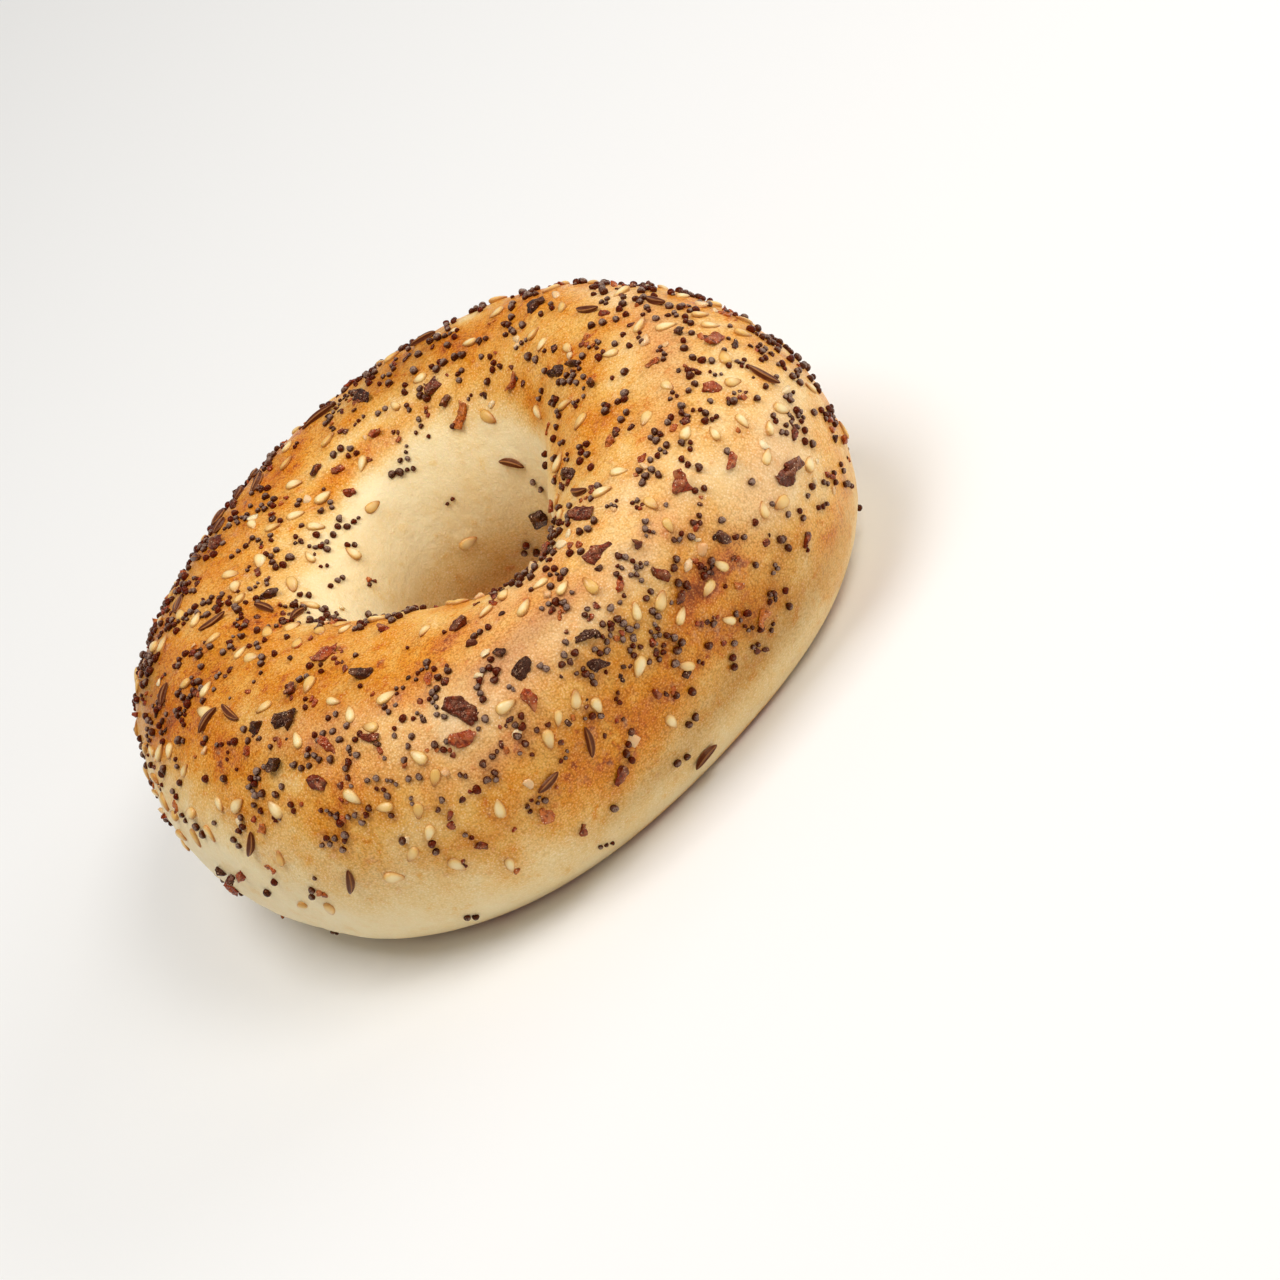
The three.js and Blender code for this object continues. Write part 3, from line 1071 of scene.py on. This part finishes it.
@dataclass
class Crust:
    """The ring of dough with its browned skin."""

    dough: Dough
    ring_steps: int = 500
    rope_steps: int = 198
    crown_toast: float = 0.49
    pucker: float = 0.16
    toasted: tuple[Patch, ...] = patches(
        (-165, 62, 26, 24, 0.22), (-90, 0, 30, 20, 0.16), (105, 84, 45, 16, 0.10),
        (48, 86, 18, 14, 0.10), (-135, 42, 13, 14, 0.10), (-78, 100, 24, 14, -0.18),
        (-110, 42, 16, 13, -0.16), (-50, 72, 14, 13, -0.14), (-124, 10, 22, 12, -0.14),
        (-28, 18, 24, 34, -0.20), (150, 110, 20, 10, -0.08), (60, 20, 40, 25, 0.14),
        (120, 10, 30, 20, -0.12), (-75, 46, 26, 14, -0.10), (-174, 50, 14, 18, 0.08),
        (20, 142, 22, 14, 0.30), (50, 130, 12, 8, 0.14), (158, 128, 18, 10, 0.26),
        (70, 66, 16, 10, 0.08), (100, 104, 34, 10, -0.10), (-62, 98, 34, 22, -0.06),
        (-149, 46, 6, 6, -0.20), (55, 93, 9, 8, 0.10), (80, 88, 12, 8, 0.08),
        (-88, 52, 40, 14, -0.09), (-25, 50, 24, 30, -0.09), (15, 80, 11, 12, -0.12),
        (-178, 50, 12, 12, 0.12), (-158, -30, 16, 16, -0.10), (75, 74, 10, 10, 0.12),
        (-120, 16, 10, 10, -0.14), (-146, 30, 14, 10, -0.14), (-10, 90, 10, 8, -0.12),
        (110, 76, 8, 8, -0.12), (-120, 61, 10, 8, -0.17), (-180, 109, 10, 12, 0.36),
        (104, 121, 34, 8, 0.38), (20, 76, 13, 8, -0.20), (59, 75, 9, 9, -0.36),
        (-137, 50, 6, 6, -0.22), (-55, -8, 8, 8, 0.14), (-178, 86, 10, 9, 0.08),
        (-107, 91, 10, 6, 0.12), (127, 138, 12, 9, -0.14), (-165, 44, 8, 8, -0.12),
        (-150, 75, 12, 8, -0.22), (-82, 107, 24, 8, -0.20), (-45, 120, 10, 8, -0.16),
        (92, 105, 20, 6, -0.30), (-105, 0, 18, 15, -0.08), (-22, 60, 14, 9, -0.09),
        (-76, 61, 8, 8, 0.22), (-136, 58, 8, 8, 0.10), (-162, 98, 9, 10, -0.12),
        (-14, 92, 8, 7, -0.10), (-59, 15, 8, 8, 0.50), (-76, 15, 8, 8, -0.10),
    )
    # patches of painted shade, on the lower near flank, deep in the hole and at spots on the crown
    duller: tuple[Patch, ...] = patches(
        (-56, -26, 24, 12, 0.42), (-88, -32, 16, 8, 0.22), (-142, 80, 26, 14, 0.16),
        (136, 74, 12, 9, 0.20), (-20, 74, 18, 10, 0.10), (78, 198, 34, 10, 0.30),
        (-55, -8, 12, 9, 0.22), (-92, 64, 14, 9, 0.30), (-178, 85, 10, 9, 0.14),
        (-137, 58, 14, 8, 0.14), (76, 85, 16, 12, 0.32), (160, 55, 15, 12, 0.58),
    )
    # patches of painted sheen in peach, along the near ridge and over the crown
    blushes: tuple[Patch, ...] = patches(
        (-102, 48, 22, 12, 0.8), (-62, 50, 20, 12, 0.7), (-38, 22, 15, 18, 0.9),
        (-54, 75, 14, 9, 0.5), (-92, 66, 18, 12, 0.7), (-70, 92, 18, 9, 0.4),
        (18, 74, 14, 8, 0.6), (-90, 90, 14, 9, 0.5), (-106, 28, 9, 9, 0.7), (96, 60, 16, 9, 0.9),
        (-14, 76, 22, 12, 0.7), (-130, 70, 16, 8, 0.4),
    )

    def toast(self, turn: Array, over: Array, place: Array) -> Array:
        """How far each place is browned, 0 cream to 1 umber.

        The crown is browned between an eased step up from the rim and one down into the hole. The
        middles of both steps wander round the ring, and patches and noise make the brown uneven.

        Args:
            turn: angles round the ring, between -180 and 180.
            over: angles over the rope.
            place: the same places in millimetres.

        Returns:
            The browning.
        """
        wander = 7.0 * soft_noise(place, 14.0, 11) + 4.0 * soft_noise(place, 5.0, 12)
        rim = -38.0 + 72.0 * bell(turn_between(-170.0, turn), 42.0)
        hole = 130.0 - 12.0 * cosd(turn - 115.0)
        for at, amount, spread in ((20.0, 8.0, 26.0), (-50.0, -8.0, 24.0), (105.0, 4.0, 26.0)):
            hole = hole + amount * bell(turn_between(at, turn), spread)
        up = smooth(rim - 24.0, rim + 32.0, over + wander)
        down = 1.0 - smooth(hole - 18.0, hole + 15.0, over + wander)
        uneven = 0.12 * soft_noise(place, 12.0, 13) + 0.11 * soft_noise(place, 4.5, 14)
        depth = self.crown_toast + uneven + patched(self.toasted, turn, over)
        tray = (1.0 - smooth(0.3, 1.6, place[..., 2])) * (0.42 + 0.3 * soft_noise(place, 9.0, 15))
        inside = 0.40 * smooth(165.0, 208.0, over)
        return up * down * depth + 0.03 * (1.0 + soft_noise(place, 6.0, 16)) + inside + tray

    @staticmethod
    def nearness(place: Array, spots: Spots, fade: float) -> Array:
        """How close each place lies to the edge of a seed: the sum of bells of the distance to each.

        Args:
            place: places on the crust.
            spots: places and reaches of the seeds.
            fade: the spread of the bells, in millimetres.

        Returns:
            One value for each place.
        """
        total = np.zeros(len(place))
        for seed, radius in zip(*spots):
            offset = place - seed
            near = np.flatnonzero(np.abs(offset).max(1) < radius + 3.0 * fade)
            edge = np.maximum(np.linalg.norm(offset[near], axis=1) - radius, 0.0)
            total[near] += bell(edge, fade)
        return total

    def build(self, large: Spots, small: Spots) -> None:
        """Makes the crust.

        Args:
            large: the seeds that the dough puckers round.
            small: the seeds that only stain it.
        """
        around = np.linspace(0.0, 360.0, self.ring_steps, endpoint=False)
        over = np.linspace(-90.0, 270.0, self.rope_steps, endpoint=False)
        around, over = (grid.ravel() for grid in np.meshgrid(around, over, indexing="ij"))
        even = self.dough.point(around, over)
        out = self.dough.outward(around, over)[2]
        place = even + out * self.dough.lumps(even)[:, None]
        turn = turn_between(0.0, around)
        toast = self.toast(turn, over, even)
        blister = np.maximum(soft_noise(even, 2.3, 21) - 0.35, 0.0) * 0.35 * np.clip(toast, 0.2, 1.0)
        raised = self.pucker * np.minimum(self.nearness(place, large, 0.55), 1.0)
        relief = (blister + 0.05 * soft_noise(even, 1.7, 22) + raised) * self.dough.above_base(even)
        place = place + out * relief[:, None]
        stain = 0.5 * self.nearness(place, small, 0.7) + 0.3 * self.nearness(place, large, 1.2)
        marks = {
            "toast": toast,
            "stain": np.minimum(stain, 1.0) * np.clip(toast * 1.4, 0.1, 1.0),
            # where the painted sheen lies
            "blush": patched(self.blushes, turn, over),
            # where the painted shade lies
            "dull": patched(self.duller, turn, over),
        }
        piece = make_piece("crust", place, ring_quads(self.ring_steps, self.rope_steps), marks)
        settle(piece, CrustFinish().material())


@dataclass(frozen=True)
class Form:
    """How the toppings of one kind are shaped, how they lie and what is marked on them.

    The points and lifts are in millimetres, the tips and leans in degrees. A mark has a value for each
    topping, for each point of the ball, or for both.
    """

    points: Array
    tip: Array
    lean: Array
    lift: Array
    marks: dict[str, Array]


@dataclass(kw_only=True)
class Topping(ABC):
    """All the toppings of one kind, which become one piece. Their draws count from their channel."""

    batch: Batch
    name: str
    slot: str
    finish: Finish
    steps: int
    channel: int

    @abstractmethod
    def form(self, ball: Array) -> Form:
        """Forms each one from the points of a ball of radius 1."""

    def draw(self, number: int) -> Array:
        """A draw in 0..1 for each one."""
        return draw(self.batch.index, self.channel + number)

    def swing(self, number: int, width: float, middle: float = 0.5) -> Array:
        """A draw for each one over so wide a range, of which the given share lies below zero."""
        return width * (self.draw(number) - middle)

    def sized(self, shape: Array, width: Array | float, thickness: Array | float) -> Array:
        """Copies of a shape of size 1, drawn out to their length, width and thickness."""
        sides = np.stack(np.broadcast_arrays(self.batch.length, width, thickness), -1)
        return shape * sides[:, None, :]

    def build(self, dough: Dough) -> None:
        """Forms and seats every one, and joins them to one piece."""
        ball, quads = ball_grid(self.steps)
        form = self.form(ball)
        origin, axes = dough.seats(self.batch, form.tip, form.lean, form.lift)
        points = origin[:, None, :] + np.einsum("nij,nvj->nvi", axes, form.points)
        count = points.shape[:2]
        marks = {mark: np.broadcast_to(values, count) for mark, values in form.marks.items()}
        quads = quads + len(ball) * np.arange(len(self.batch))[:, None, None]
        piece = make_piece(self.name, points.reshape(-1, 3), quads.reshape(-1, 4), marks)
        settle(piece, self.finish.material())


@dataclass(kw_only=True)
class PoppySeeds(Topping):
    """Poppy seeds: small kidneys, in ones, twos and short chains."""

    name: str = "poppy_seeds"
    slot: str = "poppy_seed"
    finish: Finish = PoppyFinish()
    steps: int = 3
    channel: int = 70
    proud: float = 0.72
    notch: float = 0.42
    notch_spread: float = 32.0

    def form(self, ball: Array) -> Form:
        """A ball drawn in on one side by a bell of the angle from there, and bowed round it.

        Args:
            ball: points of a ball of radius 1.

        Returns:
            The form, with a draw for each as "shade", and heights in half lengths as "top".
        """
        length = self.batch.length
        angle = np.degrees(np.arccos(np.clip(ball[:, 1], -1.0, 1.0)))
        shape = 0.5 * ball * (1.0 - self.notch * bell(angle, self.notch_spread))[:, None]
        shape[:, 1] += 0.5 * shape[:, 0] ** 2
        width, thickness = 0.84 + 0.1 * self.draw(4), 0.80 + 0.1 * self.draw(5)
        points = self.sized(shape, length * width, length * thickness)
        tip, lean = self.swing(1, 50.0), self.swing(2, 120.0)
        lift = length * (self.proud - 0.5) + self.swing(3, 0.14)
        up = np.stack([sind(tip), -cosd(tip) * sind(lean), cosd(tip) * cosd(lean)], -1)
        top = np.einsum("nvi,ni->nv", points, up) / length[:, None] * 2.0
        return Form(points, tip, lean, lift, {"shade": self.draw(6)[:, None], "top": top})


@dataclass(kw_only=True)
class SesameSeeds(Topping):
    """Sesame seeds: flat drops, nearly flat on the crust, a few leaned well over."""

    name: str = "sesame_seeds"
    slot: str = "sesame_seed"
    finish: Finish = SesameFinish()
    steps: int = 3
    channel: int = 80
    width: float = 0.66
    thickness: float = 0.35

    def form(self, ball: Array) -> Form:
        """A ball whose width grows evenly from its point to its round end.

        Args:
            ball: points of a ball of radius 1.

        Returns:
            The form, with a draw for each as "shade", "tip" at its point and "edge" at its rim.
        """
        length, along = self.batch.length, ball[:, :1]
        shape = np.concatenate([0.5 * along, ball[:, 1:] * (0.80 + 0.32 * along) * 0.5], 1)
        width = self.width * (0.88 + 0.24 * self.draw(5))
        thickness = self.thickness * (0.85 + 0.3 * self.draw(4))
        points = self.sized(shape, length * width, length * thickness)
        tip, lean = self.swing(1, 16.0), 200.0 * self.swing(2, 1.0) ** 3
        shade, edge = self.draw(6)[:, None], 1.0 - np.abs(ball[:, 2])
        marks = {"shade": shade, "tip": 0.5 - shape[:, 0], "edge": edge}
        return Form(points, tip, lean, 0.24 + self.swing(3, 0.2, 0.35), marks)


@dataclass(kw_only=True)
class CarawaySeeds(Topping):
    """Caraway seeds: bowed spindles with five ribs."""

    name: str = "caraway_seeds"
    slot: str = "caraway_seed"
    finish: Finish = CarawayFinish()
    steps: int = 8
    channel: int = 90
    width: float = 1.15
    ribs: int = 5
    rib_height: float = 0.14
    bow: float = 0.4

    def form(self, ball: Array) -> Form:
        """A spindle whose girth is a power of 1 - x^2, rippled by a cosine for each rib, and bowed.

        Args:
            ball: points of a ball of radius 1.

        Returns:
            The form, with a draw for each as "shade", and 1 along each rib as "rib".
        """
        angle = np.arctan2(ball[:, 2], ball[:, 1])
        ripple = np.cos(self.ribs * angle)
        girth = 0.5 * np.sqrt(np.clip(1.0 - ball[:, 0] ** 2, 0.0, 1.0)) ** 1.25
        girth = girth * (1.0 + self.rib_height * ripple)
        shape = np.stack([0.5 * ball[:, 0], girth * np.cos(angle), girth * np.sin(angle)], -1)
        points = self.sized(shape, self.width, self.width)
        points[..., 1] += self.bow * (1.0 - 4.0 * shape[:, 0] ** 2) * (self.draw(4)[:, None] + 0.3)
        marks = {"rib": 0.5 + 0.5 * ripple, "shade": self.draw(5)[:, None]}
        lift = 0.42 + 0.2 * self.draw(3)
        return Form(points, self.swing(1, 10.0), 36.0 * self.draw(2), lift, marks)


@dataclass(kw_only=True)
class OnionFlakes(Topping):
    """Flakes of dried onion, from thin amber skins to charred lumps."""

    burn: Array
    slot: str = "onion_flake"
    finish: Finish = FlakeFinish()
    channel: int = 100
    planes: int = 9
    sharpness: float = 30.0

    def form(self, ball: Array) -> Form:
        """A rough chunk, thicker where it is burnt, curled by a parabola and crumpled by noise.

        Args:
            ball: points of a ball of radius 1.

        Returns:
            The form, with how dark each is baked as "burn", and "top" from the middle to the face.
        """
        batch = self.batch
        rough = rock(ball, batch.index, self.planes, self.sharpness)
        thickness = 0.6 + 1.5 * np.clip(self.burn - 0.25, 0.0, 1.0) + 0.4 * self.draw(2)
        points = self.sized(rough, batch.length * (0.46 + 0.28 * self.draw(1)), thickness)
        curl = 0.55 * (1.0 - self.burn) * self.swing(3, 1.0, 0.2)
        points[..., 2] += (curl / batch.length * 2.0)[:, None] * points[..., 0] ** 2
        where = points + batch.index[:, None, None] * 7.3
        for amount, size, seed in ((0.24, 1.1, 31), (0.15, 0.55, 34), (0.05, 0.28, 37)):
            moves = [soft_noise(where, size, seed + axis) for axis in range(3)]
            points = points + amount * np.stack(moves, -1)
        marks = {"burn": self.burn[:, None], "top": points[..., 2] / thickness[:, None] * 2.0}
        tip, lean = self.swing(4, 34.0, 0.4), self.swing(5, 44.0)
        return Form(points, tip, lean, 0.10 + 0.20 * thickness, marks)


@dataclass(kw_only=True)
class Grains(Topping):
    """Small rough grains of one kind, such as salt or crumbs of onion."""

    mark: str
    lowest: float
    flatness: float
    steps: int = 3
    channel: int = 110
    planes: int = 6
    sharpness: float = 10.0

    def form(self, ball: Array) -> Form:
        """A rough chunk.

        Args:
            ball: points of a ball of radius 1.

        Returns:
            The form, with a draw from the lowest value up to 1 as the mark, and "top" as for flakes.
        """
        rough = rock(ball, self.batch.index, self.planes, self.sharpness)
        width = self.batch.length * (0.6 + 0.35 * self.draw(1))
        thickness = self.batch.length * (self.flatness * (0.7 + 0.5 * self.draw(2)))
        value = self.lowest + (1.0 - self.lowest) * self.draw(5)
        marks = {self.mark: value[:, None], "top": rough[..., 2] * 2.0}
        tip, lean = self.swing(3, 60.0), self.swing(4, 60.0)
        return Form(self.sized(rough, width, thickness), tip, lean, 0.175 * thickness, marks)


@dataclass
class Bagel:
    """The whole bagel: its crust and everything baked on it."""

    dough: Dough = field(default_factory=Dough)
    flakes: Sowing = Sowing(10, 3.4, 30)
    caraway: Sowing = Sowing(6, 4.6, 40)
    sesame: Sowing = Sowing(90, 3.0, 50)
    poppy: Sowing = Sowing(40, 1.3, 60)
    more_sesame: Sowing = Sowing(135, 2.9, 150, 0.2)
    more_flakes: Sowing = Sowing(70, 2.0, 160, 0.1)
    more_poppy: Dusting = Dusting(1160, 1.0, 5, 0.72, (0.5, 0.3, 0.18, 0.1), 6, 0.95)
    crumbs: Dusting = Dusting(330, 1.0, 7, 0.35, (0.4, 0.25, 0.1), 9, 0.6)
    salt: Dusting = Dusting(90, 1.5, 8, 0.7)
    longest_chip: float = 2.6
    placed_channel: int = 120
    strewn_channel: int = 121

    @staticmethod
    def batch_of(placed: Sequence[Bit]) -> Batch:
        """The placed bits as a batch."""
        rows = np.array([(bit.around, bit.over, bit.length, bit.turn) for bit in placed], float)
        return Batch(*rows.T, index=np.arange(len(placed)))

    def spots(self, *pairs: tuple[Batch, float]) -> Spots:
        """The places and reaches of some batches, each with its reach as a share of its length."""
        places = [self.dough.skin(batch.around, batch.over) for batch, _ in pairs]
        reaches = [batch.length * share for batch, share in pairs]
        return np.concatenate(places), np.concatenate(reaches)

    def build(self) -> None:
        """Strews in the order of the solid, adds what is too small for it, and makes every piece."""
        strewing = Strewing(self.dough)
        strewing.place_bits(LARGE_BITS)
        in_solid = (self.flakes, self.caraway, self.sesame, self.poppy)
        flakes, caraway, sesame, poppy = (strewing.strew(sowing) for sowing in in_solid)
        strewing.place_bits(MORE_BITS)
        sesame = sesame.joined(strewing.strew(self.more_sesame))
        flakes = flakes.joined(strewing.strew(self.more_flakes))
        poppy = poppy.joined(strewing.scatter(self.more_poppy))
        crumbs, salt = strewing.scatter(self.crumbs), strewing.scatter(self.salt)

        placed = LARGE_BITS + MORE_BITS
        caraway = self.batch_of([bit for bit in placed if bit.make is CARAWAY]).joined(caraway)
        skins = [bit for bit in placed if bit.make is not CARAWAY]
        usual = np.array([BURN[bit.make] for bit in skins])
        placed_burn = usual + 0.12 * (draw(np.arange(len(skins)), self.placed_channel) - 0.5)
        small = flakes.length < self.longest_chip
        chips, flakes = flakes.picked(small), flakes.picked(~small)
        strewn_burn = 0.15 + 0.65 * draw(flakes.index, self.strewn_channel)
        flakes = self.batch_of(skins).joined(flakes)
        flake_burn = np.concatenate([placed_burn, strewn_burn])
        chip_burn = 0.1 + 0.75 * draw(chips.index, self.strewn_channel)

        onion = {"slot": "onion_flake", "finish": FlakeFinish(), "mark": "burn"}
        clear = {"slot": "salt_grain", "finish": SaltFinish(), "mark": "shade"}
        toppings = (
            PoppySeeds(batch=poppy),
            SesameSeeds(batch=sesame),
            CarawaySeeds(batch=caraway),
            OnionFlakes(name="onion_flakes", batch=flakes, burn=flake_burn, steps=16),
            OnionFlakes(name="onion_chips", batch=chips, burn=chip_burn, steps=9),
            Grains(name="onion_crumbs", batch=crumbs, lowest=0.1, flatness=0.6, **onion),
            Grains(name="salt_grains", batch=salt, lowest=0.0, flatness=0.45, **clear),
        )
        for topping in toppings:
            topping.build(self.dough)
        large = self.spots((sesame, 0.42), (flakes, 0.4), (chips, 0.4), (caraway, 0.3))
        Crust(self.dough).build(large, self.spots((poppy, 0.4), (crumbs, 0.4)))


# ------------------------------------------------------------------------------ the studio


@dataclass(frozen=True)
class SoftBox:
    """A soft light, placed in the camera's own directions: right, up and towards the camera."""

    name: str
    towards: tuple[float, float, float]
    distance: float
    width: float
    height: float
    power: float
    colour: Colour = (1.0, 1.0, 1.0)


@dataclass(frozen=True)
class Studio:
    """The camera, the lights and the floor. Lengths are in metres, those on the image in pixels."""

    target: tuple[float, float, float] = (0.0011, -0.0021, 0.018)
    elevation: float = 29.83
    roll: float = 37.42
    distance: float = 0.8
    image_side: float = 1280.0
    pixels_per_metre: float = 7000.0
    target_pixel: tuple[float, float] = (501.0, 601.2)
    sensor: float = 36.0
    ambient: float = 0.30
    floor_side: float = 6.0
    floor_colour: Colour = srgb(238, 237, 235)
    lights: tuple[SoftBox, ...] = (
        SoftBox("overhead", (-0.64, 0.53, 0.55), 0.8, 0.4, 0.45, 3.95, (1.0, 0.99, 0.97)),
        SoftBox("front", (0.03, 0.74, 0.67), 0.8, 0.35, 0.25, 1.75, (1.0, 0.985, 0.96)),
        SoftBox("right", (0.62, 0.25, 0.74), 0.8, 0.6, 0.6, 0.85, (1.0, 0.985, 0.96)),
        SoftBox("back", (0.38, 0.86, -0.02), 0.8, 0.6, 0.3, 2.1),
    )

    def axes(self) -> tuple[Vector, Vector, Vector]:
        """The camera's right, up and back directions, rolled about its line of sight."""
        pitch, roll = np.radians(self.elevation), np.radians(self.roll)
        back = Vector((0.0, -np.cos(pitch), np.sin(pitch)))
        level, upright = Vector((1.0, 0.0, 0.0)), Vector((0.0, np.sin(pitch), np.cos(pitch)))
        right = level * np.cos(roll) - upright * np.sin(roll)
        up = level * np.sin(roll) + upright * np.cos(roll)
        return right, up, back

    def place_camera(self) -> None:
        """Sets the camera at its distance, turned so that the target lands on its pixel."""
        right, up, back = self.axes()
        target = Vector(self.target)
        middle = self.image_side / 2.0
        aside = (middle - self.target_pixel[0]) / self.pixels_per_metre
        rise = (self.target_pixel[1] - middle) / self.pixels_per_metre
        place = target + back * self.distance
        away = (place - (target + right * aside + up * rise)).normalized()
        level = up.cross(away).normalized()
        data = bpy.data.cameras.new("camera")
        data.sensor_width = self.sensor
        data.lens = self.sensor * self.distance * self.pixels_per_metre / self.image_side
        camera = bpy.data.objects.new("camera", data)
        turned = Matrix((level, away.cross(level), away)).transposed()
        camera.matrix_world = Matrix.Translation(place) @ turned.to_4x4()
        bpy.context.scene.collection.objects.link(camera)
        bpy.context.scene.camera = camera

    def hang_light(self, box: SoftBox) -> None:
        """Hangs one soft light and faces it to the target."""
        right, up, back = self.axes()
        towards = (right * box.towards[0] + up * box.towards[1] + back * box.towards[2]).normalized()
        data = bpy.data.lights.new(box.name, "AREA")
        data.shape = "RECTANGLE"
        data.size, data.size_y = box.width, box.height
        data.energy, data.color = box.power, box.colour
        light = bpy.data.objects.new(box.name, data)
        light.location = Vector(self.target) + towards * box.distance
        light.rotation_mode = "QUATERNION"
        light.rotation_quaternion = towards.to_track_quat("Z", "Y")
        bpy.context.scene.collection.objects.link(light)

    def lay_floor(self) -> None:
        """Lays a plain pale floor under the bagel."""
        half = self.floor_side / MM / 2.0
        corners = half * np.array([(-1, -1, 0), (1, -1, 0), (1, 1, 0), (-1, 1, 0)])
        floor = make_piece("floor", corners, np.array([[0, 1, 2, 3]]), {})
        bench = Bench("pale_floor")
        floor.data.materials.append(bench.finish(base_color=self.floor_colour, roughness=0.6))

    def set_light(self) -> None:
        """Sets the even light from all round and the plain colour rendering."""
        world = bpy.data.worlds.new("studio")
        world.use_nodes = True
        background = next(node for node in world.node_tree.nodes if node.type == "BACKGROUND")
        background.inputs["Color"].default_value = (1.0, 1.0, 1.0, 1.0)
        background.inputs["Strength"].default_value = self.ambient
        bpy.context.scene.world = world
        bpy.context.scene.view_settings.view_transform = "Standard"

    def build(self) -> None:
        """Sets up the camera, the lights and the floor."""
        self.place_camera()
        for box in self.lights:
            self.hang_light(box)
        self.lay_floor()
        self.set_light()


def main() -> None:
    """Builds the studio and the bagel."""
    logging.basicConfig(level=logging.INFO, format="%(name)s: %(message)s")
    Studio().build()
    Bagel().build()


if __name__ == "__main__":
    main()
